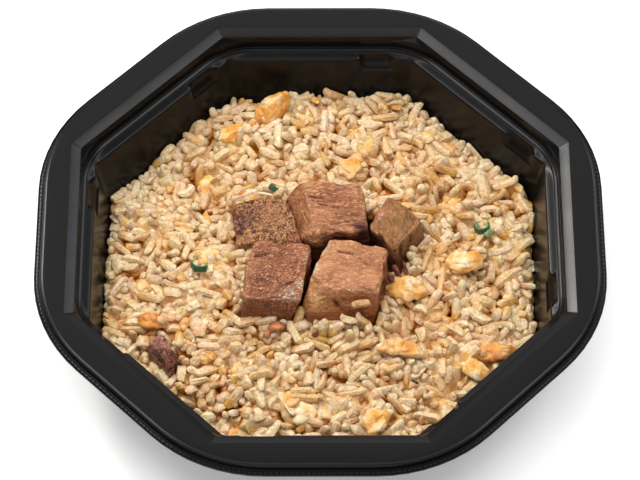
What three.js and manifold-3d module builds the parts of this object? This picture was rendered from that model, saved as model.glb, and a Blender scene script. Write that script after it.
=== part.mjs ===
// Fried rice with cubes of braised pork and scrambled egg, in its black octagonal plastic tray.
//
// Millimetres, +Z up. The origin is on the table, under the middle of the tray. +X is to the
// eater's right and -Y is towards the eater. An "apothem" is the distance from the middle of
// the octagon to the middle of a side.

import * as THREE from 'three';
import { mergeVertices } from 'three/addons/utils/BufferGeometryUtils.js';
import Module from 'manifold-3d';

const wasm = await Module();
wasm.setup();

// ---------------------------------------------------------------- driving dimensions

const SIDES = 8;
const STEP_ANGLE = (2 * Math.PI) / SIDES;
const TRAY_HEIGHT = 38;
const SHEET = 0.8; // thickness of the formed plastic sheet
const GAP = 0.35; // air between pieces that touch

const LIP_APOTHEM = 95; // outer edge of the thin flange
const LIP_DROP = 2.6; // flange edge below the rim's crest
const SHOULDER_APOTHEM = 93.4; // foot of the rounded shoulder
const RIM_OUTER = 91.1; // the flat rim runs between these two
const RIM_INNER = 84.4;
const BEVEL_APOTHEM = 81.2; // foot of the bevel inside the rim
const BEVEL_DROP = 1.4;
const SEAT_TOP_DROP = 3.3; // short wall that the lid snaps against
const SEAT_APOTHEM = 80.2;
const SEAT_DROP = 6.6;
const LEDGE_APOTHEM = 76.3; // inner edge of the sloping ledge
const LEDGE_DROP = 8.4;
const WALL_DRAFT = THREE.MathUtils.degToRad(10.6);
const FLOOR_FILLET = 6.5;

const LIP_CORNER = 52; // corner radii, seen from above
const RIM_CORNER = 48;
const CREASE_CORNER = 1.5;
const SEAT_CORNER = 26;
const WALL_CORNER = 2.5;
const FLOOR_CORNER = 8;
const FILLET_TURNS = [0, 0.33, 0.67, 1]; // shares of the quarter turn from floor to wall
const CORNER_STEPS = 4;

// Eight pockets in the ledge, one near the clockwise end of each side, let stacked trays part.
const POCKET_OFFSET = 19.4; // from the middle of a side
const POCKET_MOUTH = 11.4; // width at the ledge's inner edge
const POCKET_BACK = 8.7; // width at the back
const POCKET_DEPTH = 2.3;
const POCKET_FLOOR_DROP = 13.3;
const POCKET_TAPER = 0.8; // the floor is this much narrower than the top

const RICE_EDGE = 16; // height of the rice at the wall, over the table
const RICE_CROWN = 7; // how much higher the middle is
const RICE_REACH = 74; // apothem at which the edge height holds
const RICE_COLUMNS = 9; // points along one side of the octagon
const GRAIN_BUMP = 0.8;

// ---------------------------------------------------------------- surfaces from rings

// A ring is an octagon with rounded corners. The angle along a corner's arc runs from one
// side's direction to the next, so rings of any size have their points in matching places.
function octagonRing(apothem, corner, z, cornerSteps = CORNER_STEPS, sideSteps = 1) {
  const ring = [];
  const reach = (apothem - corner) / Math.cos(STEP_ANGLE / 2);
  for (let side = 0; side < SIDES; side += 1) {
    const middle = (side + 0.5) * STEP_ANGLE;
    const corners = [];
    for (let k = 0; k <= cornerSteps; k += 1) {
      const turn = (side + k / cornerSteps) * STEP_ANGLE;
      const x = reach * Math.cos(middle) + corner * Math.cos(turn);
      const y = reach * Math.sin(middle) + corner * Math.sin(turn);
      corners.push(new THREE.Vector3(x, y, z));
    }
    ring.push(...corners);
    const nextMiddle = middle + STEP_ANGLE;
    const turn = (side + 1) * STEP_ANGLE;
    const next = new THREE.Vector3(
      reach * Math.cos(nextMiddle) + corner * Math.cos(turn),
      reach * Math.sin(nextMiddle) + corner * Math.sin(turn),
      z,
    );
    for (let k = 1; k < sideSteps; k += 1) {
      ring.push(corners[cornerSteps].clone().lerp(next, k / sideSteps));
    }
  }
  return ring;
}

// A closed skin through rings that start at a lowest point, go out, up and back in to an end
// point. Rings run anticlockwise seen from above, so every face points outwards.
function skin(start, rings, end) {
  const around = rings[0].length;
  const positions = [...start.toArray()];
  rings.flat().forEach((p) => positions.push(...p.toArray()));
  positions.push(...end.toArray());
  const last = positions.length / 3 - 1;
  const at = (i, j) => 1 + i * around + (j % around);
  const index = [];
  for (let j = 0; j < around; j += 1) {
    index.push(0, at(0, j + 1), at(0, j));
    for (let i = 0; i + 1 < rings.length; i += 1) {
      index.push(at(i, j), at(i, j + 1), at(i + 1, j + 1));
      index.push(at(i, j), at(i + 1, j + 1), at(i + 1, j));
    }
    index.push(last, at(rings.length - 1, j), at(rings.length - 1, j + 1));
  }
  const geometry = new THREE.BufferGeometry();
  geometry.setAttribute('position', new THREE.Float32BufferAttribute(positions, 3));
  geometry.setIndex(index);
  return geometry;
}

// ---------------------------------------------------------------- joining and cutting

function toSolid(geometry) {
  const bare = geometry.clone();
  bare.deleteAttribute('normal');
  bare.deleteAttribute('uv');
  const merged = mergeVertices(bare, 1e-5);
  const vertProperties = new Float32Array(merged.attributes.position.array);
  const triVerts = new Uint32Array(merged.index.array);
  return new wasm.Manifold(new wasm.Mesh({ numProp: 3, vertProperties, triVerts }));
}

function fromSolid(solid) {
  const mesh = solid.getMesh();
  const geometry = new THREE.BufferGeometry();
  geometry.setAttribute('position', new THREE.BufferAttribute(mesh.vertProperties, 3));
  geometry.setIndex(new THREE.BufferAttribute(mesh.triVerts, 1));
  return geometry;
}

// A six-sided block between two rectangles of corner points. Each is listed anticlockwise
// seen from above, from the corner at the lowest x and y of a BoxGeometry.
function block(lower, upper, segments = 1, shape = (p) => p) {
  const geometry = new THREE.BoxGeometry(2, 2, 2, segments, segments, segments);
  const position = geometry.attributes.position;
  const p = new THREE.Vector3();
  for (let i = 0; i < position.count; i += 1) {
    p.fromBufferAttribute(position, i);
    shape(p);
    const point = blockPoint(lower, upper, p);
    position.setXYZ(i, point.x, point.y, point.z);
  }
  return geometry;
}

// Where a point of the -1 to 1 cube lands between the eight corners.
function blockPoint(lower, upper, p) {
  const u = (p.x + 1) / 2;
  const v = (p.y + 1) / 2;
  const face = ([a, b, c, d]) => {
    const near = a.clone().lerp(b, u);
    const far = d.clone().lerp(c, u);
    return near.lerp(far, v);
  };
  return face(lower).lerp(face(upper), (p.z + 1) / 2);
}

// ---------------------------------------------------------------- the tray

// The wall's inner apothem at a height, from its draft below the ledge.
function wallApothem(z) {
  return LEDGE_APOTHEM - (TRAY_HEIGHT - LEDGE_DROP - z) * Math.tan(WALL_DRAFT);
}

// Rings round the bend from the floor to the wall, that far inside the tray's inner face: 0 is
// the face itself, -SHEET the underside and GAP the food. turns are shares of the bend.
function floorRings(offset, turns, ...steps) {
  const bottom = SHEET + offset;
  const bend = FLOOR_FILLET - offset;
  const foot = wallApothem(bottom + bend) - offset / Math.cos(WALL_DRAFT) - bend;
  const turnEnd = Math.PI / 2 - WALL_DRAFT;
  return turns.map((t) => {
    const turn = t * turnEnd;
    const apothem = foot + bend * Math.sin(turn);
    const z = bottom + bend * (1 - Math.cos(turn));
    const corner = FLOOR_CORNER - offset - bend * (1 - Math.sin(turn));
    return octagonRing(apothem, Math.max(corner, CREASE_CORNER), z, ...steps);
  });
}

function makeTray() {
  const top = TRAY_HEIGHT;
  const lean = SHEET / Math.cos(WALL_DRAFT);
  const inner = [
    ...floorRings(0, FILLET_TURNS),
    octagonRing(LEDGE_APOTHEM, WALL_CORNER, top - LEDGE_DROP),
    octagonRing(SEAT_APOTHEM, SEAT_CORNER, top - SEAT_DROP),
    octagonRing(SEAT_APOTHEM + 0.7, SEAT_CORNER, top - SEAT_TOP_DROP),
    octagonRing(BEVEL_APOTHEM, CREASE_CORNER, top - BEVEL_DROP),
    octagonRing(RIM_INNER, CREASE_CORNER, top),
    octagonRing(RIM_OUTER, RIM_CORNER, top),
    octagonRing(RIM_OUTER + 1.5, RIM_CORNER, top - 0.6),
    octagonRing(SHOULDER_APOTHEM, LIP_CORNER - 1, top - LIP_DROP + 0.3),
    octagonRing(LIP_APOTHEM, LIP_CORNER, top - LIP_DROP),
  ];
  const outer = [
    ...floorRings(-SHEET, FILLET_TURNS),
    octagonRing(LEDGE_APOTHEM + lean, WALL_CORNER + SHEET, top - LEDGE_DROP - SHEET),
    octagonRing(SEAT_APOTHEM + SHEET, SEAT_CORNER, top - SEAT_DROP - SHEET),
    octagonRing(SEAT_APOTHEM + 0.7 + SHEET, SEAT_CORNER, top - SEAT_TOP_DROP - SHEET),
    octagonRing(BEVEL_APOTHEM + SHEET, CREASE_CORNER + SHEET, top - BEVEL_DROP - SHEET),
    octagonRing(RIM_INNER + SHEET / 2, CREASE_CORNER + SHEET, top - SHEET),
    octagonRing(RIM_OUTER - SHEET / 2, RIM_CORNER, top - SHEET),
    octagonRing(RIM_OUTER + 1.5 - SHEET, RIM_CORNER, top - 0.6 - SHEET),
    octagonRing(SHOULDER_APOTHEM - SHEET / 2, LIP_CORNER - 1, top - LIP_DROP - SHEET + 0.3),
    octagonRing(LIP_APOTHEM, LIP_CORNER, top - LIP_DROP - SHEET),
  ];
  const floor = new THREE.Vector3(0, 0, SHEET);
  const bottom = new THREE.Vector3(0, 0, 0);
  let tray = toSolid(skin(bottom, [...outer, ...inner.reverse()], floor));
  for (let side = 0; side < SIDES; side += 1) {
    tray = tray.add(toSolid(pocketBlock(side, SHEET)));
  }
  for (let side = 0; side < SIDES; side += 1) {
    tray = tray.subtract(toSolid(pocketBlock(side, 0)));
  }
  return fromSolid(tray);
}

// One pocket's hollow, or with grow = SHEET the wall around it. It widens towards the mouth.
// The wall's block stops in mid sheet, and the hollow runs out past the inner face.
function pocketBlock(side, grow) {
  const topZ = TRAY_HEIGHT - (grow ? LEDGE_DROP - 0.2 : SEAT_DROP);
  const floorZ = TRAY_HEIGHT - POCKET_FLOOR_DROP - grow;
  const frontTop = grow ? LEDGE_APOTHEM + 0.4 : LEDGE_APOTHEM - 1;
  const frontLow = wallApothem(floorZ) + (grow ? 0.4 : -1);
  const back = LEDGE_APOTHEM + POCKET_DEPTH + grow;
  const mouth = POCKET_MOUTH / 2 + grow;
  const rear = POCKET_BACK / 2 + grow;
  const angle = side * STEP_ANGLE;
  const out = new THREE.Vector3(Math.cos(angle), Math.sin(angle), 0);
  const along = new THREE.Vector3(-Math.sin(angle), Math.cos(angle), 0);
  const corner = (r, s, z) => {
    const p = out.clone().multiplyScalar(r);
    p.addScaledVector(along, s - POCKET_OFFSET);
    p.z = z;
    return p;
  };
  const level = (front, z, taper) => [
    corner(front, -mouth + taper, z),
    corner(back - taper, -rear + taper, z),
    corner(back - taper, rear - taper, z),
    corner(front, mouth - taper, z),
  ];
  return block(level(frontLow, floorZ, POCKET_TAPER), level(frontTop, topZ, 0));
}

// ---------------------------------------------------------------- the heap of rice

// Places along the wall where the rice has slumped away: azimuth in degrees and drop in mm.
const SLUMPS = [
  { azimuth: 62, drop: 4, spread: 12 },
  { azimuth: 113, drop: 4, spread: 9 },
  { azimuth: 163, drop: 5, spread: 22 },
  { azimuth: -14, drop: 6, spread: 12 },
];

function octagonApothem(x, y) {
  const azimuth = Math.atan2(y, x);
  const side = Math.round(azimuth / STEP_ANGLE) * STEP_ANGLE;
  return x * Math.cos(side) + y * Math.sin(side);
}

// Height of the heap: a flattened crown, slumps along the wall, soft mounds a few
// centimetres apart, and a bumpiness about as fine as the grains.
function riceHeight(x, y) {
  const u = Math.min(octagonApothem(x, y) / RICE_REACH, 1);
  let z = RICE_EDGE + RICE_CROWN * (1 - u ** 3);
  const azimuth = THREE.MathUtils.radToDeg(Math.atan2(y, x));
  SLUMPS.forEach(({ azimuth: centre, drop, spread }) => {
    const away = ((azimuth - centre + 540) % 360) - 180;
    z -= drop * u ** 8 * Math.exp(-((away / spread) ** 2));
  });
  z += 0.7 * Math.sin(x / 6.1 + 0.8) * Math.sin(y / 5.3 + 1.9);
  z += 0.5 * Math.sin((x + y) / 4.3 + 2.6) * Math.sin((x - y) / 5.7);
  z += GRAIN_BUMP * Math.sin(x * 1.31 + y * 0.47) * Math.sin(y * 1.13 - x * 0.39);
  return z;
}

function makeHeap() {
  const steps = [2, RICE_COLUMNS - 2];
  const contact = octagonRing(wallApothem(RICE_EDGE) - GAP, WALL_CORNER, 0, ...steps);
  contact.forEach((p) => {
    const azimuthHeight = riceHeight(p.x, p.y);
    const scale = (wallApothem(azimuthHeight) - GAP) / (wallApothem(RICE_EDGE) - GAP);
    p.set(p.x * scale, p.y * scale, azimuthHeight);
  });
  const inward = [0.96, 0.915, 0.86, 0.8, 0.73, 0.66, 0.58, 0.5, 0.41, 0.32, 0.22, 0.11];
  const top = inward.map((s) => contact.map(({ x, y }) => (
    new THREE.Vector3(x * s, y * s, riceHeight(x * s, y * s))
  )));
  const low = new THREE.Vector3(0, 0, SHEET + GAP);
  const peak = new THREE.Vector3(0, 0, riceHeight(0, 0));
  return toSolid(skin(low, [...floorRings(GAP, [0, 0.5, 1], ...steps), contact, ...top], peak));
}

// ---------------------------------------------------------------- braised pork

const corners = (z, ...xy) => xy.map(([x, y]) => new THREE.Vector3(x, y, z));

// Each cube by its lower and upper corners, from the near left one round anticlockwise. cuts
// are knife cuts that slice a corner off: the direction they face, and a point on them.
const PORK = {
  pork_front_left: {
    lower: corners(14, [-26.6, -25.8], [-10.8, -26.6], [-3, -3.4], [-22.8, -2.2]),
    upper: corners(33.2, [-26.4, -25], [-6.3, -26.6], [-2.9, -3.3], [-22.2, -1.9]),
    cuts: [],
  },
  pork_front_right: {
    lower: corners(14, [-4.4, -29.6], [18.4, -27.2], [22.6, -6.6], [-1.2, -3.8]),
    upper: corners(33.4, [-5, -20.2], [19.2, -23.2], [22.8, -5.6], [3, -0.8]),
    cuts: [{ facing: [-0.55, -0.5, 0.67], through: [0.6, -19.5, 33.4] }],
  },
  pork_back_middle: {
    lower: corners(14, [-9.5, 2.6], [17.4, 1.4], [14.8, 21.4], [-12.5, 21]),
    upper: corners(33.4, [-8.5, 1.1], [16.9, 1.3], [14, 21.6], [-10.5, 21.2]),
    cuts: [{ facing: [-0.794, -0.146, 0.589], through: [-5.6, 20, 33.4] }],
  },
  pork_back_left: {
    lower: corners(13, [-28.6, 0], [-4.8, -2], [-11.5, 18], [-29.5, 19.4]),
    upper: corners(29.8, [-28.6, 0.8], [-5.6, -1.6], [-11.5, 17.6], [-28.6, 19]),
    cuts: [{ facing: [-0.45, 0.05, 0.89], through: [-19.7, 8, 29.8] }],
  },
  pork_right: {
    lower: corners(14, [16.8, 3.6], [26.8, -8], [36.5, 8], [24.6, 20]),
    upper: corners(31.4, [16.6, 4.2], [24.6, -5], [33.8, 8.4], [22.8, 18]),
    cuts: [{ facing: [0.42, -0.1, 0.9], through: [28, 6, 31.2] }],
  },
  pork_scrap: {
    lower: corners(14.5, [-57.6, -35.4], [-50.4, -45.4], [-45.6, -42], [-52.6, -31.4]),
    upper: corners(22.8, [-56.8, -36], [-50.6, -44.2], [-47, -41.4], [-52.8, -32.8]),
    cuts: [{ facing: [0.6, -0.3, 0.74], through: [-49.5, -41, 22] }],
  },
};
const EDGE_POWER = 15; // higher is a sharper edge on the cubes
const PORK_SEGMENTS = 4;

// A cut cube: the block's faces bulge and dip a little, and its edges are rounded by pulling
// every point in by the power mean of its three coordinates.
function makeChunk({ lower, upper, cuts }, scale = 1) {
  const round = (p) => {
    p.set(...p.toArray().map((t) => Math.sign(t) * Math.abs(t) ** 0.6));
    const mean = p.toArray().reduce((sum, t) => sum + Math.abs(t) ** EDGE_POWER, 0);
    const wave = 1 + 0.02 * Math.sin(3 * p.x + 2 * p.y) * Math.sin(3 * p.y - 2 * p.z + 1);
    p.multiplyScalar((scale * wave) / mean ** (1 / EDGE_POWER));
  };
  const geometry = block(lower, upper, PORK_SEGMENTS, round);
  const position = geometry.attributes.position;
  const p = new THREE.Vector3();
  cuts.forEach(({ facing, through }) => {
    const plane = new THREE.Plane().setFromNormalAndCoplanarPoint(
      new THREE.Vector3(...facing).normalize(),
      new THREE.Vector3(...through),
    );
    plane.constant -= (scale - 1) * 10;
    for (let i = 0; i < position.count; i += 1) {
      p.fromBufferAttribute(position, i);
      const beyond = plane.distanceToPoint(p);
      if (beyond > 0) p.addScaledVector(plane.normal, -0.97 * beyond);
      position.setXYZ(i, p.x, p.y, p.z);
    }
  });
  return toSolid(geometry);
}

// ---------------------------------------------------------------- scrambled egg

// Each curd: middle, length, width and thickness, turn and tilt in degrees, how far its
// middle stands over the rice, and how much its ends bend down.
const EGG = [
  { name: 'egg_far', x: -16.5, y: 63, size: [16, 9, 7], yaw: 42, tilt: -16, lift: 2.6, bend: 0.2 },
  { name: 'egg_far_left', x: -30, y: 53, size: [11, 7, 4.5], yaw: 28, tilt: 0, lift: 0.9, bend: 0.15 },
  { name: 'egg_behind_pork', x: 10.3, y: 34.8, size: [9.5, 8, 4], yaw: 75, tilt: 8, lift: 0.8, bend: 0.1 },
  { name: 'egg_right', x: 48.7, y: -3.2, size: [13, 9, 5], yaw: 12, tilt: 0, lift: 0.8, bend: 0.2 },
  { name: 'egg_by_pork', x: 29, y: -15, size: [14, 9, 4.5], yaw: -8, tilt: 0, lift: 0.9, bend: 0.15 },
  { name: 'egg_near_middle', x: 27, y: -38, size: [15.5, 6, 4], yaw: -10, tilt: 0, lift: 0.8, bend: 0.25 },
  { name: 'egg_browned', x: 58.6, y: -36.6, size: [14, 7, 4], yaw: 8, tilt: 6, lift: 1, bend: 0.3 },
  { name: 'egg_curl', x: 51, y: -44.6, size: [12, 6.5, 4.5], yaw: -34, tilt: 0, lift: 1, bend: 0.35 },
  { name: 'egg_near', x: 18, y: -64.4, size: [11, 9, 4.5], yaw: 58, tilt: 0, lift: 1, bend: 0.15 },
  { name: 'egg_left', x: -56.2, y: -26, size: [10, 6, 3.5], yaw: -8, tilt: 0, lift: 0.7, bend: 0.2 },
];
const CURD_AROUND = 11;
const CURD_RINGS = 7;

// A curd is a flattened ball whose surface is lobed by two crossing waves, and which bends
// like a folded flap along its length.
function makeCurd({ x, y, size, yaw, tilt, lift, bend }, order, grow = 0) {
  const geometry = new THREE.SphereGeometry(1, CURD_AROUND, CURD_RINGS);
  const position = geometry.attributes.position;
  const [length, width, thickness] = size.map((s) => s / 2 + grow);
  const p = new THREE.Vector3();
  for (let i = 0; i < position.count; i += 1) {
    p.fromBufferAttribute(position, i);
    const lobes = 1 + 0.13 * Math.sin(3.1 * p.x + order) * Math.cos(3.7 * p.y - order)
      + 0.08 * Math.sin(5 * p.y + 2 * order + 2 * p.z);
    const flap = bend * length * (1 - 2 * p.x * p.x) * 0.5;
    position.setXYZ(i, p.x * lobes * length, p.y * lobes * width, p.z * lobes * thickness + flap);
  }
  geometry.rotateY(THREE.MathUtils.degToRad(tilt));
  geometry.rotateZ(THREE.MathUtils.degToRad(yaw));
  geometry.translate(x, y, riceHeight(x, y) + lift);
  return toSolid(geometry);
}

// ---------------------------------------------------------------- putting it together

const POCKET_SCALE = 1.055; // hollow in the rice round a cube, and between cubes
const group = new THREE.Group();

function addMesh(name, geometry, material) {
  const mesh = new THREE.Mesh(geometry, material);
  mesh.name = name;
  geometry.computeVertexNormals();
  group.add(mesh);
}

const BLACK_PLASTIC = () => (
  new THREE.MeshStandardMaterial({ color: 0x1d1d1f, roughness: 0.38, metalness: 0 })
);
const COOKED_RICE = () => (
  new THREE.MeshStandardMaterial({ color: 0xd9b88a, roughness: 0.5, metalness: 0 })
);
const BRAISED_PORK = () => (
  new THREE.MeshStandardMaterial({ color: 0xa8734f, roughness: 0.5, metalness: 0 })
);
const SCRAMBLED_EGG = () => (
  new THREE.MeshStandardMaterial({ color: 0xe0b25a, roughness: 0.5, metalness: 0 })
);

addMesh('tray', makeTray(), BLACK_PLASTIC());

// The pork group stands in a hollow of its own, with open air between the cubes.
let rice = makeHeap();
const between = block(
  corners(15, [-8, -9], [22, -7], [18, 6], [-10, 6]),
  corners(30, [-8, -9], [22, -7], [18, 6], [-10, 6]),
);
rice = rice.subtract(toSolid(between));

const laid = [];
Object.entries(PORK).forEach(([name, shape]) => {
  let chunk = makeChunk(shape);
  laid.forEach((hollow) => {
    chunk = chunk.subtract(hollow);
  });
  const hollow = makeChunk(shape, POCKET_SCALE);
  rice = rice.subtract(hollow);
  laid.push(hollow);
  addMesh(name, fromSolid(chunk), BRAISED_PORK());
});

EGG.forEach((curd, order) => {
  let lump = makeCurd(curd, order);
  laid.forEach((hollow) => {
    lump = lump.subtract(hollow);
  });
  const hollow = makeCurd(curd, order, GAP);
  rice = rice.subtract(hollow);
  laid.push(hollow);
  addMesh(curd.name, fromSolid(lump), SCRAMBLED_EGG());
});

addMesh('fried_rice', fromSolid(rice), COOKED_RICE());

export default group;
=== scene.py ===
# %% [markdown]
# # Fried rice in its black octagonal tray
#
# A ready meal: one portion of fried rice with five cubes of braised pork, scraps of scrambled
# egg and spring onion, in a formed plastic tray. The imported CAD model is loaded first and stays
# as it is. Every piece made here stands for one of its nodes, or lies on top of one.

import bpy
import numpy as np
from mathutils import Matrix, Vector


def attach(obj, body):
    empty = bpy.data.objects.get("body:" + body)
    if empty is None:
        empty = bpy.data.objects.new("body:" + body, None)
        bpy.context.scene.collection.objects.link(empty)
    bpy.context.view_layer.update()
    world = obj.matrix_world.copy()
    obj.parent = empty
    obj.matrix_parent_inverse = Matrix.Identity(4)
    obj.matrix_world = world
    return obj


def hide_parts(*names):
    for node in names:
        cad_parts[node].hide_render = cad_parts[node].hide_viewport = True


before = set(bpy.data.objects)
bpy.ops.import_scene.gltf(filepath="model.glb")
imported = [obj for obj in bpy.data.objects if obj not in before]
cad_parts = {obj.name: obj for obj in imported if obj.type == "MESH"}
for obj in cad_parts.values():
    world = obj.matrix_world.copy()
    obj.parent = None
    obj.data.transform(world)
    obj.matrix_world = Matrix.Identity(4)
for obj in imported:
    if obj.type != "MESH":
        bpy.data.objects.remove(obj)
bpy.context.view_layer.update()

# %% [markdown]
# ## Putting numpy surfaces into meshes
#
# Every shape here is worked out as a table of points in millimetres. Blender counts in metres,
# so one function scales the table and fills the mesh with foreach_set, which copies a whole
# array at once. A grid of points becomes quads by shifting its index table by one row and one
# column, and a pole is closed by a fan of triangles.

# %% Mesh helpers
MM = 0.001


def put_mesh(name, points, *faces, smooth=True):
    """A mesh object from points in mm and tables of faces, three or four corners to a row."""
    corners = np.concatenate([table.ravel() for table in faces])
    sizes = np.concatenate([np.full(len(table), table.shape[1]) for table in faces])
    mesh = bpy.data.meshes.new(name)
    mesh.vertices.add(len(points))
    mesh.vertices.foreach_set("co", np.asarray(points * MM, dtype=np.float32).ravel())
    mesh.loops.add(len(corners))
    mesh.loops.foreach_set("vertex_index", corners.astype(np.int32))
    mesh.polygons.add(len(sizes))
    starts = np.concatenate([[0], np.cumsum(sizes)[:-1]])
    mesh.polygons.foreach_set("loop_start", starts.astype(np.int32))
    mesh.polygons.foreach_set("use_smooth", np.full(len(sizes), smooth))
    mesh.update(calc_edges=True)
    mesh.validate()
    piece = bpy.data.objects.new(name, mesh)
    bpy.context.scene.collection.objects.link(piece)
    return piece


def grid_faces(rows, columns):
    """Quads between neighbouring rows and columns: each point joins the next column, that
    column's next row, and its own next row. The last column joins the first."""
    ids = np.arange(rows * columns).reshape(rows, columns)
    after = np.roll(ids, -1, axis=1)
    return np.stack([ids[:-1], after[:-1], after[1:], ids[1:]], axis=-1).reshape(-1, 4)


def fan_faces(ring, pole, outward):
    """Triangles from a pole to each pair of neighbours on a ring of point numbers."""
    after = np.roll(ring, -1)
    pair = (ring, after) if outward else (after, ring)
    return np.stack([np.full_like(ring, pole), *pair], axis=1)


def closed_faces(rows, columns, flip=False):
    """Faces of a stack of rings closed by two poles, which are numbered after the grid."""
    last = rows * columns
    ring = np.arange(columns)
    low = fan_faces(ring, last, outward=flip)
    high = fan_faces(ring + last - columns, last + 1, outward=not flip)
    quads = grid_faces(rows, columns)
    return quads[:, ::-1] if flip else quads, np.concatenate([low, high])


def copies_of(count, size, *tables):
    """Face tables of one shape with size points, repeated for count shapes in a row."""
    shift = np.arange(count)[:, None, None] * size
    return [(table + shift).reshape(-1, table.shape[1]) for table in tables]


def normalised(rows):
    """Each row divided by its length."""
    return rows / np.linalg.norm(rows, axis=1, keepdims=True)


def paint(piece, name, values):
    """Stores one number, or one colour, for each point of a piece."""
    values = np.asarray(values, dtype=np.float32)
    if values.ndim == 1:
        layer = piece.data.attributes.new(name, "FLOAT", "POINT")
        layer.data.foreach_set("value", values)
    else:
        layer = piece.data.attributes.new(name, "FLOAT_COLOR", "POINT")
        full = np.concatenate([values, np.ones((len(values), 1), dtype=np.float32)], axis=1)
        layer.data.foreach_set("color", full.ravel())


def place(piece, material, slot, *nodes):
    """Gives a piece its material, the body it rides on and the nodes it replaces. slot is not used."""
    piece.data.materials.append(material)
    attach(piece, "root")
    if nodes:
        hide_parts(*nodes)
    print(f"{piece.name}: {len(piece.data.vertices)} points, {len(piece.data.polygons)} faces")


# %% [markdown]
# ## Roughness for food
#
# Meat fibres, egg curds and the heap all need soft random relief. Value noise gives it: a
# random height at every point of a cubic lattice, blended smoothly in between. Stretching the
# points before the lookup stretches the lumps, which is how fibres are made. Every table comes
# from one seeded generator, so that each run gives the same food.

# %% Noise
LATTICE = 32
NOISE = np.random.default_rng(41).random((LATTICE, LATTICE, LATTICE))


def noise(points, size, shift=0.0):
    """Smooth noise from -1 to 1: the lattice heights at the eight corners round each point,
    blended by 3t^2 - 2t^3 of the way across. size is the lattice step in mm, and each shift
    looks at another part of the lattice, so that two uses of noise have nothing in common."""
    q = np.asarray(points) / size + shift * np.array([7.3, 3.1, 5.7])
    base = np.floor(q).astype(int)
    t = q - base
    t = t * t * (3 - 2 * t)
    total = 0.0
    for corner in np.ndindex(2, 2, 2):
        cell = (base + corner) % LATTICE
        weight = np.prod(np.where(corner, t, 1 - t), axis=-1)
        total = total + weight * NOISE[cell[..., 0], cell[..., 1], cell[..., 2]]
    return 2 * total - 1


def lumps(points, size, shift=0.0, octaves=3):
    """Layers of noise, each half the size and a bit over half the height of the last."""
    return sum(
        0.55**k * noise(points, size / 2**k, shift + 11 * k) for k in range(octaves)
    )


# %% [markdown]
# ## Shader helpers
#
# A material is a small graph. One function adds a node, sets its values and links its inputs,
# so each finish below reads as a list of what it is made of. Colours are written as sRGB hex,
# as on a paint chart, and turned to the linear values that the renderer works with.


# %% Colour and node helpers
def linear(hex_colour):
    """sRGB hex to linear: v / 12.92 near black, else ((v + 0.055) / 1.055) to the power 2.4."""
    srgb = np.array([int(hex_colour[k : k + 2], 16) for k in (0, 2, 4)]) / 255
    flat = np.where(srgb <= 0.04045, srgb / 12.92, ((srgb + 0.055) / 1.055) ** 2.4)
    return (*flat.tolist(), 1.0)


def node(material, kind, settings=None, stops=(), **inputs):
    """Adds one shader node. settings are its properties and stops are a colour ramp's places
    and hex colours. Inputs go by a socket's name, with _ for a space, or by its identifier, and
    are a value or another node's output."""
    made = material.node_tree.nodes.new(kind)
    for key, value in (settings or {}).items():
        setattr(made, key, value)
    for k, (position, colour) in enumerate(stops):
        elements = made.color_ramp.elements
        element = elements[k] if k < 2 else elements.new(position)
        element.position = position
        element.color = linear(colour)
    for key, value in inputs.items():
        name = key.replace("_", " ")
        matches = [s for s in made.inputs if s.name == name or s.identifier == key]
        socket = next((s for s in matches if s.enabled), matches[0])
        if isinstance(value, bpy.types.NodeSocket):
            material.node_tree.links.new(value, socket)
        else:
            socket.default_value = value
    return made


def new_material(name):
    """An empty node material."""
    material = bpy.data.materials.new(name)
    material.use_nodes = True
    material.node_tree.nodes.clear()
    return material


def moist_food(material, colour, height, bump, **finish):
    """What every food here shares: an index of 1.4, as of water and fat, and a relief of the
    bump's strength and depth in mm. finish holds the rest of its settings. The glow's reach is
    in mm."""
    strength, depth = bump
    finish["Subsurface_Scale"] *= MM
    relief = node(material, "ShaderNodeBump", Strength=strength, Distance=depth * MM,
                  Height=height)
    shader = node(material, "ShaderNodeBsdfPrincipled", Base_Color=colour, IOR=1.4,
                  Normal=relief.outputs["Normal"], **finish)
    node(material, "ShaderNodeOutputMaterial", Surface=shader.outputs["BSDF"])
    return material


# %% [markdown]
# ## The tray
#
# The real tray is one sheet of black polypropylene, heated and drawn into a mould: flat floor,
# drafted walls, a ledge that slopes in and ends in a small bead, an undercut seat that a lid
# snaps into, a bevel, a flat rim, a sloping shoulder and a thin flange. Every bend in a drawn
# sheet is a small radius, and those radii carry the bright lines that make it read as plastic.
# So the profile is drawn as a chain of straight runs and each corner is replaced by a short
# curve.

# %% Tray dimensions in millimetres
SIDES = 8
STEP = 2 * np.pi / SIDES
TRAY_HEIGHT = 38.0
SHEET = 0.8
LEDGE_APOTHEM = 76.3
LEDGE_DROP = 8.4
WALL_DRAFT = np.radians(10.6)
FLOOR_CORNER = 8.0


def wall_apothem(z):
    """Inner face of the wall: the ledge's edge, less the fall below it times tan(draft)."""
    return LEDGE_APOTHEM - (TRAY_HEIGHT - LEDGE_DROP - z) * np.tan(WALL_DRAFT)


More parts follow.
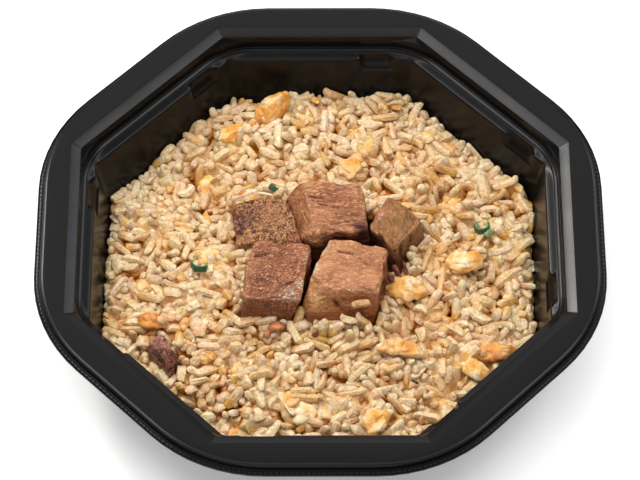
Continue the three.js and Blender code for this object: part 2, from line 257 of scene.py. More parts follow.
# Each corner of the profile: apothem, height, corner radius seen from above, bend radius.
TRAY_PROFILE = np.array([
    [30.0, SHEET, 3.0, 0.0],
    [wall_apothem(SHEET), SHEET, FLOOR_CORNER, 6.5],
    [LEDGE_APOTHEM, TRAY_HEIGHT - LEDGE_DROP, 2.5, 0.9],
    [79.2, TRAY_HEIGHT - 7.6, 22.0, 0.25],
    [79.35, TRAY_HEIGHT - 7.3, 23.0, 0.15],
    [80.1, TRAY_HEIGHT - 6.92, 25.0, 0.3],
    [81.0, TRAY_HEIGHT - 6.88, 26.0, 0.25],
    [80.8, TRAY_HEIGHT - 3.5, 26.0, 0.35],
    [80.95, TRAY_HEIGHT - 3.1, 20.0, 0.35],
    [80.9, TRAY_HEIGHT - 1.5, 1.5, 0.45],
    [84.4, TRAY_HEIGHT, 1.5, 0.7],
    [91.8, TRAY_HEIGHT, 48.0, 1.0],
    [92.7, TRAY_HEIGHT - 0.27, 49.5, 0.35],
    [92.95, TRAY_HEIGHT - 2.9, 51.0, 0.3],
    [94.86, TRAY_HEIGHT - 2.6, 52.0, 0.0],
])
BEND_STEPS = 5

# %% [markdown]
# A Bevel modifier would give every bend the same radius, and it would have to work on the
# whole tray. Rounding the profile first is exact, and each bend keeps its own radius.


# %% Rounding the profile
def bend_profile(profile, steps):
    """Replaces each inner corner P by a curve from P - d*a to P + d*b, where a and b are the
    run directions, d = radius * tan(half the turn), and the curve is (1-t)^2, 2t(1-t), t^2
    of start, corner and end."""
    rows = [profile[:1, :3]]
    t = np.linspace(0, 1, steps)[:, None]
    for before, corner, after in zip(profile[:-2], profile[1:-1], profile[2:]):
        back = before[:3] - corner[:3]
        ahead = after[:3] - corner[:3]
        length_back, length_ahead = np.hypot(*back[:2]), np.hypot(*ahead[:2])
        cosine = np.dot(back[:2], ahead[:2]) / (length_back * length_ahead)
        turn = np.pi - np.arccos(np.clip(cosine, -1, 1))
        reach = min(corner[3] * np.tan(turn / 2), 0.45 * length_back, 0.45 * length_ahead)
        start = corner[:3] + back * reach / length_back
        end = corner[:3] + ahead * reach / length_ahead
        rows.append((1 - t) ** 2 * start + 2 * t * (1 - t) * corner[:3] + t**2 * end)
    rows.append(profile[-1:, :3])
    return np.concatenate(rows)


def with_rows(profile, heights, low, high):
    """Adds rows at these heights on the run between profile heights low and high."""
    z = profile[:, 1]
    run = np.flatnonzero((z > low) & (z < high))
    extra = np.stack([np.interp(heights, z[run], profile[run, k]) for k in range(3)], axis=1)
    at = run[0] + np.searchsorted(z[run], heights)
    return np.insert(profile, at, extra, axis=0)


# %% [markdown]
# Eight shallow pockets are pressed into the ledge, one towards the clockwise end of each side,
# so that stacked trays come apart. The grid is dense there, and its points between the pocket's
# sides are pushed out to the pocket's back wall; the steep step that this leaves is the side.

# %% Tray pockets
POCKET_OFFSET = -19.4
POCKET_MOUTH = 5.7
POCKET_BACK = 4.35
POCKET_DEPTH = 2.3
POCKET_FLOOR = TRAY_HEIGHT - 13.3
POCKET_EDGE = 0.3
SIDE_HALF = (LEDGE_APOTHEM - 2.5) * np.tan(STEP / 2)
CORNER_COLUMNS = 8
# Heights of the extra rows that the pockets need, on the wall and on the ledge.
WALL_ROWS = [12, 18, 22.5, POCKET_FLOOR - 0.35, POCKET_FLOOR - 0.06, POCKET_FLOOR + 0.06,
             POCKET_FLOOR + 0.35, 26.5, 28.3]
LEDGE_ROWS = [30.05, 30.19, 30.23, 30.27]
# Columns along a side, in mm: inside the pocket from its middle, and elsewhere.
POCKET_COLUMNS = np.array([-4.9, -4.2, -2, 0, 2, 4.2, 4.9])
OTHER_COLUMNS = [-28.5, -27, -12, -9, -4, 1, 6, 12, 18, 24, 28]


def press_pockets(r, s, z):
    """Pushes points inside a pocket out to its back, where they lie above the pocket's floor
    and below the ledge. The share rises from 0 to 1 across each side edge, and
    the width narrows from mouth to back."""
    across = np.abs(s - POCKET_OFFSET)
    inside = np.clip((POCKET_MOUTH + POCKET_EDGE - across) / (2 * POCKET_EDGE), 0, 1)
    up = z - POCKET_FLOOR
    above = np.clip(up / 0.12 + 0.5, 0, 1) * np.clip(up / 3.6, 0.2, 1)
    back = LEDGE_APOTHEM + POCKET_DEPTH
    push = inside * above * np.clip(back - r, 0, None) * (r > wall_apothem(z) - 0.6)
    narrow = 1 - (1 - POCKET_BACK / POCKET_MOUTH) * push / POCKET_DEPTH
    pressed = push > 0
    s = np.where(pressed, POCKET_OFFSET + (s - POCKET_OFFSET) * narrow, s)
    return r + push, s


# %% [markdown]
# The profile is carried round an octagon whose corners are rounded too. A lathe turns only
# round things, so each side is laid out as a straight run and an arc, and turned eight times.


# %% The tray's surface
def one_side(r, corner, s, turn):
    """One side seen from above: straight at apothem r, at places s along it, then an arc by
    turn about the corner's centre, which lies (r - corner) / cos(22.5 degrees) out."""
    reach = (r - corner) / np.cos(STEP / 2)
    arc_x = reach * np.cos(STEP / 2) + corner * np.cos(turn)
    arc_y = reach * np.sin(STEP / 2) + corner * np.sin(turn)
    return np.stack([np.hstack([r + 0 * s, arc_x]), np.hstack([s, arc_y])], axis=-1)


def all_sides(side):
    """The points of one side, in rows, turned by 45 degrees again and again and joined."""
    angle = np.arange(SIDES) * STEP
    spin = np.array([[np.cos(angle), np.sin(angle)], [-np.sin(angle), np.cos(angle)]])
    return np.einsum("rcd,dek->rkce", side, spin).reshape(len(side), -1, 2)


def tray_columns():
    """Places along one side as shares of half its straight length, closer at the pocket."""
    edges = np.array([-1, 1]) * POCKET_MOUTH
    near = [POCKET_OFFSET + e + d for e in edges for d in (-POCKET_EDGE, 0, POCKET_EDGE)]
    places = np.sort(np.concatenate([near, POCKET_OFFSET + POCKET_COLUMNS, OTHER_COLUMNS]))
    return np.concatenate([[-1], places / SIDE_HALF, [1]])


def tray_surface():
    """Rows follow the profile and columns go round the octagon."""
    profile = bend_profile(TRAY_PROFILE, BEND_STEPS)
    profile = with_rows(profile, WALL_ROWS, low=6.0, high=29.59)
    profile = with_rows(profile, LEDGE_ROWS, low=29.7, high=30.38)
    r, z, corner = (profile[:, k : k + 1] for k in range(3))
    half = (r - corner) * np.tan(STEP / 2)
    share = tray_columns()[None]
    s = share * half
    turn = np.linspace(0, STEP, CORNER_COLUMNS + 1)[None, 1:-1]
    side = one_side(r, corner, s, turn)
    straight = side[:, : s.shape[1]]
    straight[..., 0], straight[..., 1] = press_pockets(r + 0 * s, s, z + 0 * s)
    around = all_sides(side)
    height = np.broadcast_to(z, around.shape[:2])[..., None]
    return np.concatenate([around, height], axis=-1)


surface = tray_surface()
rows, columns = surface.shape[:2]
points = np.concatenate([surface.reshape(-1, 3), [[0, 0, SHEET]]])
centre = fan_faces(np.arange(columns), rows * columns, outward=True)
tray = put_mesh("tray_sheet", points, grid_faces(rows, columns)[:, ::-1], centre)
print("tray grid:", rows, "rows of", columns, "columns")

# %% [markdown]
# The rows and columns above are one thin surface, so Solidify grows the sheet's 0.8 mm away from
# the food. The thin flange outside the shoulder is knurled on the real tray: short ribs pressed
# by the cutter all the way round. They are far too many to model by hand and too regular for
# noise, so one small ridge is repeated at equal steps along the flange.

# %% Sheet thickness and flange ribs
thickness = tray.modifiers.new("sheet", "SOLIDIFY")
thickness.thickness = SHEET * MM
thickness.offset = -1

RIB_PITCH = 1.7
RIB_INNER, RIB_OUTER = 93.7, 94.75
RIB_CORNER = 51.3
RIB_HALF_WIDTH = 0.34
RIB_HEIGHT = 0.36
FLANGE_Z = TRAY_HEIGHT - 2.8


def octagon_line(apothem, corner, spacing):
    """Points at equal steps round an octagon with rounded corners, with their outward
    directions: a dense outline is measured along its length and read off at even shares."""
    half = (apothem - corner) * np.tan(STEP / 2)
    straight = np.linspace(-half, half, 20, endpoint=False)
    turn = np.linspace(0, STEP, 40)[:-1]
    side = one_side(apothem, corner, straight, turn)
    line = all_sides(side[None])[0]
    facing = np.concatenate([0 * straight, turn])
    direction = (np.arange(SIDES)[:, None] * STEP + facing).ravel()
    closed = np.concatenate([line, line[:1]])
    along = np.concatenate([[0], np.cumsum(np.hypot(*np.diff(closed, axis=0).T))])
    count = int(along[-1] / spacing)
    wanted = np.arange(count) * along[-1] / count
    direction = np.interp(wanted, along, np.append(direction, 2 * np.pi))
    place_x = np.interp(wanted, along, closed[:, 0])
    place_y = np.interp(wanted, along, closed[:, 1])
    return np.stack([place_x, place_y], 1), direction


def flange_ribs():
    """One ridge in section a triangle: four base corners and two crest points, set in from the
    ends, turned to face out at each place."""
    place_xy, direction = octagon_line(RIB_INNER, RIB_CORNER, RIB_PITCH)
    run = RIB_OUTER - RIB_INNER
    shape = np.array([
        [0, -RIB_HALF_WIDTH, 0], [run, -RIB_HALF_WIDTH, 0], [run, RIB_HALF_WIDTH, 0],
        [0, RIB_HALF_WIDTH, 0], [0.2, 0, RIB_HEIGHT], [run - 0.12, 0, RIB_HEIGHT],
    ])
    out = np.stack([np.cos(direction), np.sin(direction)], 1)
    left = np.stack([-out[:, 1], out[:, 0]], 1)
    flat = shape[None, :, :1] * out[:, None] + shape[None, :, 1:2] * left[:, None]
    xy = place_xy[:, None] + flat
    z = np.broadcast_to(FLANGE_Z + shape[:, 2], xy.shape[:2])[..., None]
    points = np.concatenate([xy, z], -1).reshape(-1, 3)
    quads = np.array([[0, 3, 2, 1], [0, 1, 5, 4], [2, 3, 4, 5]])
    ends = np.array([[0, 4, 3], [1, 2, 5]])
    faces = copies_of(len(place_xy), len(shape), quads, ends)
    return put_mesh("tray_knurl", points, *faces, smooth=False)


knurl = flange_ribs()

# %% [markdown]
# The plastic is black polypropylene, thermoformed. It leaves the mould with a low semi-gloss:
# very dark in itself, so nearly all that the eye sees is reflection, softened by a fine tooth
# from the mould and by slow waves where the sheet thinned as it was drawn. The tooth is about
# 0.4 mm and the waves about 14 mm.


# %% Black polypropylene
def black_polypropylene():
    material = new_material("black_polypropylene")
    where = node(material, "ShaderNodeTexCoord").outputs["Object"]
    tooth = node(material, "ShaderNodeTexNoise", Vector=where, Scale=1 / (0.4 * MM), Detail=1.0)
    wave = node(material, "ShaderNodeTexNoise", Vector=where, Scale=1 / (14 * MM), Detail=2.0)
    slow = node(material, "ShaderNodeBump", Strength=0.15, Distance=0.15 * MM,
                Height=wave.outputs["Fac"])
    fine = node(material, "ShaderNodeBump", Strength=0.1, Distance=0.02 * MM,
                Height=tooth.outputs["Fac"], Normal=slow.outputs["Normal"])
    gloss = node(material, "ShaderNodeMapRange", Value=wave.outputs["Fac"], To_Min=0.22,
                 To_Max=0.3)
    shader = node(material, "ShaderNodeBsdfPrincipled", Base_Color=linear("0E0E0F"), IOR=1.44,
                  Specular_IOR_Level=0.25, Roughness=gloss.outputs["Result"],
                  Normal=fine.outputs["Normal"])
    node(material, "ShaderNodeOutputMaterial", Surface=shader.outputs["BSDF"])
    return material


plastic = black_polypropylene()
place(tray, plastic, "tray_plastic", "tray")
place(knurl, plastic, "tray_plastic")

# %% [markdown]
# ## The shape of the heap
#
# The rice fills the tray to about half its depth, higher in the middle, and it has slumped from
# the wall in four places. One formula gives that height anywhere. The core, the grains and
# every topping are set by it, as the solid in the CAD model is. Nothing may show through the
# tray's thin wall, so a second function draws stray points back inside it.

# %% Heap height
RICE_EDGE = 16.0
RICE_CROWN = 7.0
RICE_REACH = 74.0
WALL_GAP = 0.05
# Each slump: azimuth in degrees, drop in mm, spread in degrees.
SLUMPS = [(62, 4, 12), (113, 4, 9), (163, 5, 22), (-14, 6, 12)]


def side_direction(x, y):
    """The unit direction in which the side of the octagon that a point is nearest to faces."""
    side = np.round(np.arctan2(y, x) / STEP) * STEP
    return np.cos(side), np.sin(side)


def octagon_apothem(x, y):
    """How far out a point lies towards the side of the octagon that it is nearest to."""
    out_x, out_y = side_direction(x, y)
    return x * out_x + y * out_y


def rice_height(x, y):
    """Edge height plus a crown of 1 - u^3, where u is the share of the way out, less each
    slump's drop * u^8 * exp(-(angle / spread)^2), plus soft mounds made of two sine products."""
    u = np.minimum(octagon_apothem(x, y) / RICE_REACH, 1)
    z = RICE_EDGE + RICE_CROWN * (1 - u**3)
    azimuth = np.degrees(np.arctan2(y, x))
    for middle, drop, spread in SLUMPS:
        away = (azimuth - middle + 540) % 360 - 180
        z = z - drop * u**8 * np.exp(-((away / spread) ** 2))
    z = z + 0.7 * np.sin(x / 6.1 + 0.8) * np.sin(y / 5.3 + 1.9)
    return z + 0.5 * np.sin((x + y) / 4.3 + 2.6) * np.sin((x - y) / 5.7)


def held_inside(points):
    """Draws points that are past the wall's inside back to it: along the direction of the
    nearest side, and at the rounded corners towards the middle."""
    out = np.stack(side_direction(points[:, 0], points[:, 1]), 1)
    wall = wall_apothem(points[:, 2]) - WALL_GAP
    over = np.maximum(np.sum(points[:, :2] * out, axis=1) - wall, 0)
    flat = points[:, :2] - over[:, None] * out
    corner = wall + (wall - FLOOR_CORNER) * (1 / np.cos(STEP / 2) - 1)
    share = np.minimum(corner / np.maximum(np.linalg.norm(flat, axis=1), 1), 1)
    return np.column_stack([flat * share[:, None], points[:, 2]])


# %% [markdown]
# ## The pork
#
# Five cubes of belly and shoulder, braised and cut, about 20 mm to a side, and one scrap. They
# were cut by hand and shrank as they cooked, so no face is square: each is set by eight
# corners, then by its own knife cuts, swells and tears. Patches of fat and of darker meat, and
# of painted shade on faces that lie in shadow, are painted by their distance from a point,
# since each cut has its own.

# %% Corners of the pork
# The corners of each level run round from the near left. A cut is a direction and a point on
# it, a swell a middle, radius and height, a tear two ends and a width, and a patch a middle,
# radius, colour and share. fibre is the run of the strands, and stretch, coarse and grain say
# how long, gritty and creased they are.
FAT, RED, DARK = "FFEACC", "D87E54", "8E513B"
PORK = {
    "pork_front_left": {
        "lower": (14, [-26.6, -25.8], [-10.8, -26.6], [-3.0, -3.4], [-22.8, -2.2]),
        "upper": (33.2, [-26.4, -25.0], [-6.3, -26.6], [-2.9, -3.3], [-22.2, -1.9]),
        "cuts": [], "swells": [([-25.5, -12, 28], 5, 0.8), ([-15, -14, 33], 6, 0.6),
                               ([-8, -22, 33], 3, 0.7)],
        "tears": [([-22, -8.5, 33], [-17, -7.6, 33], 0.25), ([-9, -19, 33], [-14, -21, 33], 0.3)],
        "fibre": [1, 0.5, -0.1], "stretch": 2.2, "coarse": 0.5, "grain": 6.5, "meat": "DA9A72",
        "patches": [([-24, -12, 33], 4.5, "FABE83", 0.6), ([-6.0, -20, 33], 3.2, FAT, 0.9),
                    ([-10, -24.5, 33], 3.4, FAT, 0.6), ([-4, -8, 33], 2.8, "FFD6A3", 0.6),
                    ([-9.0, -27.4, 30], 2.0, "FFA968", 0.8)],
    },
    "pork_front_right": {
        "lower": (14, [-4.4, -29.6], [18.4, -27.2], [22.6, -6.6], [-1.2, -3.8]),
        "upper": (33.4, [-5, -20.2], [19.2, -23.2], [22.8, -5.6], [3.0, -0.8]),
        "cuts": [([-0.55, -0.5, 0.67], [0.6, -19.5, 33.4])],
        "swells": [([-1.5, -24.5, 26], 4.6, 2.4), ([13, -12, 33.4], 8, 0.7)],
        "tears": [([3.5, -18, 33], [4.5, -23, 28], 0.6), ([4.5, -23, 28], [10, -28, 22], 0.6),
                  ([6, -7, 33.4], [11, -8.4, 33.4], 0.3)],
        "fibre": [1, -0.1, 0.2], "stretch": 2, "coarse": 0.2, "grain": 3.0, "meat": "E6AC7C",
        "patches": [([-2.8, -13, 33], 3.8, FAT, 0.95), ([0.6, -5, 33], 2.8, FAT, 0.9),
                    ([2.4, -2, 33], 1.6, FAT, 0.6), ([-1.5, -24, 27], 7.0, "F7CE8F", 0.85),
                    ([12.5, -25.5, 30], 5.0, RED, 0.6), ([4, -21.5, 31], 2.2, RED, 0.5),
                    # The last patch is painted shade on the right face, in the gap by the right cube.
                    ([22.5, -15, 26], 6.0, "672B2D", 0.9)],
    },
    "pork_back_middle": {
        "lower": (14, [-9.5, 2.6], [17.4, 1.4], [14.8, 21.4], [-12.5, 21]),
        "upper": (33.8, [-8.5, 1.1], [16.9, 1.3], [14.0, 21.6], [-10.5, 21.2]),
        "cuts": [([-0.794, -0.146, 0.589], [-5.6, 20, 33.8])],
        "swells": [([-2.2, 1.8, 27.5], 4.2, 2.3), ([6, 12, 33.8], 7, 0.7)],
        "tears": [([-3.5, 15.2, 33.8], [1.5, 14.4, 33.8], 0.35),
                  ([-2.5, 13.4, 33.8], [2, 12.9, 33.8], 0.18),
                  ([-1, 12.2, 33.8], [6.5, 10.2, 33.8], 0.2)],
        "fibre": [1, 0.06, 0.05], "stretch": 3, "coarse": 0.15, "grain": 4.6, "meat": "E3A677",
        "patches": [([-2, 1, 30], 5.0, "FFD09D", 0.7), ([-8, 19, 33], 5.0, RED, 0.35),
                    # The two dark maroon patches are painted shade on the front face, in the gap before
                    # the front right cube.
                    ([6, 1, 27.5], 7.0, "5A272B", 0.95), ([14, 1, 28.5], 7.5, "5A272B", 0.95)],
    },
    "pork_back_left": {
        "lower": (13, [-28.6, 0], [-4.8, -2], [-11.5, 18], [-29.5, 19.4]),
        "upper": (29.8, [-28.6, 0.8], [-5.6, -1.6], [-11.5, 17.6], [-28.6, 19]),
        "cuts": [([-0.45, 0.05, 0.89], [-19.7, 8, 29.8])], "tears": [],
        "swells": [([-15, 8, 30], 5, 0.8)],
        "fibre": [0.6, 0.8, 0.2], "stretch": 1.3, "coarse": 1.6, "grain": 10.0, "meat": "EDAF7B",
        "patches": [([-26, 9, 27], 8.0, "976056", 0.85), ([-14, 6, 29.5], 5.5, "FFD28F", 0.5),
                    ([-8, 1, 29], 3.0, RED, 0.7)],
    },
    "pork_right": {
        "lower": (14, [16.8, 3.6], [26.8, -8.0], [36.5, 8], [24.6, 20]),
        "upper": (31.4, [16.6, 4.2], [24.6, -5.0], [33.8, 8.4], [22.8, 18.0]),
        "cuts": [([0.42, -0.1, 0.9], [28, 6, 31.2])], "swells": [([22, 8, 31], 5, 0.6)],
        "tears": [([27, -2, 29], [29, -5, 18], 0.8), ([25, -3.4, 29], [25, -5, 18], 0.5),
                  ([30, 2.4, 29], [32, -0.6, 20], 0.6)],
        "fibre": [0.35, -0.85, -0.4], "stretch": 3.5, "coarse": 0.2, "grain": 4.0,
        "meat": "BB8A55",
        # The dark maroon patches, 552729, are painted shade on the near left faces, in the gap between
        # the cubes.
        "patches": [([20.5, 10, 31], 4.0, "FAB08D", 0.5), ([19, 1, 26], 6.0, "552729", 0.95),
                    ([24, -5, 24], 6.5, "552729", 0.9), ([29, -2, 22], 7.0, DARK, 0.8)],
    },
    "pork_scrap": {
        "lower": (14.5, [-57.6, -35.4], [-50.4, -45.4], [-45.6, -42], [-52.6, -31.4]),
        "upper": (22.8, [-56.8, -36], [-50.6, -44.2], [-47.0, -41.4], [-52.8, -32.8]),
        "cuts": [([0.6, -0.3, 0.74], [-49.5, -41, 22])], "tears": [], "swells": [],
        "fibre": [0.5, 0.8, 0], "stretch": 2, "coarse": 1.4, "grain": 7, "meat": "C9907E",
        "patches": [([-49, -42, 21], 4.5, "8C472F", 0.7), ([-57, -36, 21], 3.0, "FFE4BF", 0.8)],
    },
}


def corner_points(level):
    """Eight corners are two levels of four: a height, then x and y from the near left round."""
    height, *flat = level
    return np.array([[x, y, height] for x, y in flat], dtype=float)


def between_corners(lower, upper, t):
    """Trilinear blend: across, then back, then up, for points of the -1 to 1 cube."""
    u, v, w = ((t[:, k : k + 1] + 1) / 2 for k in range(3))

    def level(c):
        return (c[0] * (1 - u) + c[1] * u) * (1 - v) + (c[3] * (1 - u) + c[2] * u) * v

    return level(lower) * (1 - w) + level(upper) * w


# %% [markdown]
# A cut starts as the skin of a cube, gridded evenly so that every face has points for fine
# relief. Points on an edge are shared by the faces that meet there, so no seam can open.


# %% Skin of a cube
def cube_skin(cells):
    """Points on a cube's faces from -1 to 1, each shared one once, and quads facing out."""
    step = np.arange(cells + 1)
    a, b = np.meshgrid(step, step, indexing="ij")
    sheets = []
    for axis in range(3):
        for level in (0, cells):
            sheet = np.empty((cells + 1, cells + 1, 3), dtype=int)
            sheet[..., axis] = level
            sheet[..., (axis + 1) % 3] = a
            sheet[..., (axis + 2) % 3] = b
            sheets.append(sheet if level else sheet[::-1])
    lattice, ids = np.unique(np.reshape(sheets, (-1, 3)), axis=0, return_inverse=True)
    ids = ids.reshape(6, cells + 1, cells + 1)
    quads = np.stack([ids[:, :-1, :-1], ids[:, 1:, :-1], ids[:, 1:, 1:], ids[:, :-1, 1:]], -1)
    return 2 * lattice / cells - 1, quads.reshape(-1, 4)


def outward(points, quads):
    """Unit direction out of the surface at each point: the mean of its quads' crossed
    diagonals."""
    cross = np.cross(points[quads[:, 2]] - points[quads[:, 0]],
                     points[quads[:, 3]] - points[quads[:, 1]])
    total = np.zeros_like(points)
    for k in range(3):
        weights = np.repeat(cross[:, k], 4)
        total[:, k] = np.bincount(quads.ravel(), weights, len(points))
    return normalised(total)


# %% [markdown]
# The skin is pulled in by the power mean of each point's three coordinates, which rounds the
# edges, and is then stretched between the eight corners. Meat is bundles of fibre, so the
# relief is noise drawn out along the fibre direction, with soft swells, a few tears, and
# edges that are notched and frayed. The same fields give the colour: pits, tears and notches
# are darker, as dark juice and as painted shade, and swells and edges dry pale.

# %% One cut of pork
EDGE_POWER = 15
STRAND = 1.5
FINE_STRAND = 0.8
# The share of red, green and blue left low on the sides, by soy and by painted shade.
SOY_AND_SHADE = np.array([0.78, 0.58, 0.45])


def along_fibre(points, fibre, stretch):
    """Shortens distances along the fibre, so that noise looked up there is drawn out."""
    f = np.array(fibre, dtype=float)
    f /= np.linalg.norm(f)
    return points - (1 - 1 / stretch) * (points @ f)[:, None] * f


def from_line(points, start, end):
    """Distance from a straight piece of line: to the nearest point on it, found by the share
    of the way along, held between 0 and 1."""
    start, run = np.array(start, dtype=float), np.subtract(end, start)
    share = np.clip((points - start) @ run / (run @ run), 0, 1)
    return np.linalg.norm(points - start - share[:, None] * run, axis=1)


def painted_meat(p, shape, ragged):
    """The meat's colour: the cut's own, mixed towards each patch's colour, of fat, darker meat and
    painted shade, where a point is nearer to its middle than its radius, with a ragged edge, then
    darker further down, as soy and as painted shade."""
    colour = np.tile(linear(shape["meat"])[:3], (len(p), 1))
    for middle, radius, hex_colour, share in shape["patches"]:
        away = np.linalg.norm(p - middle, axis=1) + 0.35 * radius * ragged
        mixed = share * np.clip((radius - away) / (0.6 * radius), 0, 1)[:, None]
        colour += (np.array(linear(hex_colour)[:3]) - colour) * mixed
    top = shape["upper"][0]
    # Painted shade, with soy, darkens the sides towards the bottom.
    sunk = np.clip((top - 1.5 - p[:, 2]) / 8, 0, 1)[:, None]
    return colour * (1 + (SOY_AND_SHADE - 1) * sunk)


def pork_cut(name, shape, cells):
    """Cube points over their power mean (sum |t|^15)^(1/15), stretched between the corners and
    pushed back to the knife cuts, plus relief along the outward direction."""
    t, quads = cube_skin(cells)
    wave = 0.02 * np.sin(3 * t[:, 0] + 2 * t[:, 1]) * np.sin(3 * t[:, 1] - 2 * t[:, 2] + 1)
    mean = np.sum(np.abs(t) ** EDGE_POWER, axis=1) ** (1 / EDGE_POWER)
    rounded = t * ((1 + wave) / mean)[:, None]
    p = between_corners(corner_points(shape["lower"]), corner_points(shape["upper"]), rounded)
    for facing, through in shape["cuts"]:
        facing = np.array(facing) / np.linalg.norm(facing)
        beyond = np.maximum((p - through) @ facing, 0)
        p = p - 0.97 * beyond[:, None] * facing
    out = outward(p, quads)
    order = 3.0 * list(PORK).index(name)
    drawn = along_fibre(p, shape["fibre"], shape["stretch"])
    strand = lumps(drawn, STRAND, order, 2)
    fine = lumps(drawn, FINE_STRAND, order + 7, 2)
    swell = lumps(p, 7, order + 3, 2)
    grit = lumps(p, 1.0, order + 4, 2) * shape["coarse"]
    pit = np.clip(noise(p, 3.2, order + 5) - 0.25, 0, 1) * np.clip(grit, -1, 0)
    tear = np.zeros(len(p))
    for start, end, width in shape["tears"]:
        tear = np.maximum(tear, np.exp(-((from_line(p, start, end) / width) ** 2)))
    edge = np.clip(np.sort(np.abs(rounded), axis=1)[:, 1] * 9 - 8, 0, 1)
    notch = edge * np.clip(lumps(p, 3.2, order + 6, 2), 0, 1)
    fray = edge * lumps(p, 1.2, order + 8, 2)
    relief = (0.55 * swell + 0.1 * strand + 0.1 * fine + 0.16 * grit + 0.5 * pit
              - 0.7 * tear - 1.2 * notch + 0.45 * fray)
    for middle, radius, height in shape["swells"]:
        relief += height * np.exp(-np.sum(((p - middle) / radius) ** 2, axis=1))
    points = p + out * relief[:, None]
    piece = put_mesh(name + "_meat", points, quads)
    # Pits, tears and notches lower the tone: dark juice and painted shade in the recesses.
    tone_and_shade = (0.5 + 0.07 * strand + 0.12 * fine + 0.18 * grit + 0.6 * pit - 0.45 * tear
            + 0.12 * swell + 0.25 * edge - 0.2 * notch)
    paint(piece, "tone_and_shade", np.clip(tone_and_shade, 0, 1))
    paint(piece, "grain", np.full(len(p), shape["grain"]))
    paint(piece, "meat", painted_meat(p, shape, swell + 0.8 * strand + fine))
    paint(piece, "fibres", drawn * MM)
    return piece


# %% [markdown]
# Braised pork is muscle cooked grey-brown and stained by soy, with a thin glaze of fat and
# sauce. The cracks and the low sides are painted darker, as soy and as painted shade. The
# painted colour gives each cut its own brown, and a shade from dark to light gives the fibres.
# Shrunken meat wrinkles into a net of thin creases under 1 mm apart: noise folded at its middle
# value gives sharp valleys, painted dark as shade, and round ridges, drawn out along the fibre.
# Light goes a little way in before it comes back, which a small red subsurface share gives, and
# the glaze is a clear coat.

# %% Braised pork
FOLD_MEAN = 0.05


def braised_pork():
    material = new_material("braised_pork")
    where = node(material, "ShaderNodeTexCoord").outputs["Object"]
    tone_and_shade = node(material, "ShaderNodeAttribute", {"attribute_name": "tone_and_shade"}).outputs["Fac"]
    grain = node(material, "ShaderNodeAttribute", {"attribute_name": "grain"}).outputs["Fac"]
    meat = node(material, "ShaderNodeAttribute", {"attribute_name": "meat"}).outputs["Color"]
    fibres = node(material, "ShaderNodeAttribute", {"attribute_name": "fibres"}).outputs["Vector"]
    patch = node(material, "ShaderNodeTexNoise", Vector=where, Scale=1 / (4 * MM), Detail=3.0)
    fine = node(material, "ShaderNodeTexNoise", Vector=fibres, Scale=1 / (0.8 * MM), Detail=4.0,
                Roughness=0.65)
    centred = node(material, "ShaderNodeMath", {"operation": "SUBTRACT"},
                   Value=fine.outputs["Fac"], Value_001=0.5)
    folded = node(material, "ShaderNodeMath", {"operation": "ABSOLUTE"},
                  Value=centred.outputs["Value"])
    wrinkle = node(material, "ShaderNodeMath", {"operation": "SUBTRACT"},
                   Value=folded.outputs["Value"], Value_001=FOLD_MEAN)
    # The folded noise's valleys darken the colour, as painted shade in the creases, and bump the
    # surface.
    creased = node(material, "ShaderNodeMath", {"operation": "MULTIPLY_ADD"},
                   Value=wrinkle.outputs["Value"], Value_001=grain, Value_002=tone_and_shade)
    drift = node(material, "ShaderNodeMath", {"operation": "MULTIPLY_ADD"},
                 Value=patch.outputs["Fac"], Value_001=0.3, Value_002=creased.outputs["Value"])
    level = node(material, "ShaderNodeMapRange", Value=drift.outputs["Value"], From_Min=0.1,
                 From_Max=1.2)
    shade = node(material, "ShaderNodeValToRGB", Fac=level.outputs["Result"],
                 stops=[(0.0, "4E3226"), (0.25, "94786A"), (0.5, "C0ACA0"), (0.75, "E2D6CC"),
                        (1.0, "FFFFFF")])
    colour = node(material, "ShaderNodeMix", {"data_type": "RGBA", "blend_type": "MULTIPLY"},
                  Factor_Float=1.0, A_Color=meat, B_Color=shade.outputs["Color"])
    return moist_food(material, colour.outputs[2], creased.outputs["Value"], (1.0, 0.3),
                      Roughness=0.42, Subsurface_Weight=0.1, Subsurface_Scale=0.8,
                      Subsurface_Radius=(1.0, 0.45, 0.25), Coat_Weight=0.3, Coat_Roughness=0.22)


pork = braised_pork()
for name, shape in PORK.items():
    cells = 36 if name == "pork_scrap" else 84
    place(pork_cut(name, shape, cells), pork, "braised_pork", name)


# %% [markdown]
# ## The scrambled egg
#
# The cook stirs beaten egg in hot oil, so it sets in soft curds that fold over themselves and
# brown where they touch the pan. A curd is a flattened ball: crossing waves lobe it, noise
# crumples it, and it bends like a flap along its length. The ten large ones stand for nodes;
# the same function makes the small scraps later.

# %% Large curds
# Each curd: x, y, size, yaw, tilt, lift, bend, browning.
CURDS = {
    "egg_far": (-16.5, 63, [16, 9, 7], 42, -16, 2.6, 0.2, 0.35),
    "egg_far_left": (-30, 53, [11, 7, 4.5], 28, 0, 0.9, 0.15, 0.05),
    "egg_behind_pork": (10.3, 34.8, [9.5, 8, 4], 75, 8, 0.8, 0.1, 0.3),
    "egg_right": (48.7, -3.2, [13, 9, 5], 12, 0, 0.8, 0.2, 0.15),
    "egg_by_pork": (29, -15, [14, 10, 4.4], -8, 0, 0.5, 0.15, 0.3),
    "egg_near_middle": (27, -38, [15.5, 6, 4], -10, 0, 0.8, 0.25, 0.35),
    "egg_browned": (58.6, -36.6, [14, 7, 4], 8, 6, 1, 0.3, 0.75),
    "egg_curl": (51, -44.6, [12, 6.5, 4.5], -34, 0, 1, 0.35, 0.1),
    "egg_near": (18, -64.4, [11, 9, 4.5], 58, 0, 1, 0.15, 0.2),
    "egg_left": (-56.2, -26, [10, 6, 3.5], -8, 0, 0.7, 0.2, 0.7),
}


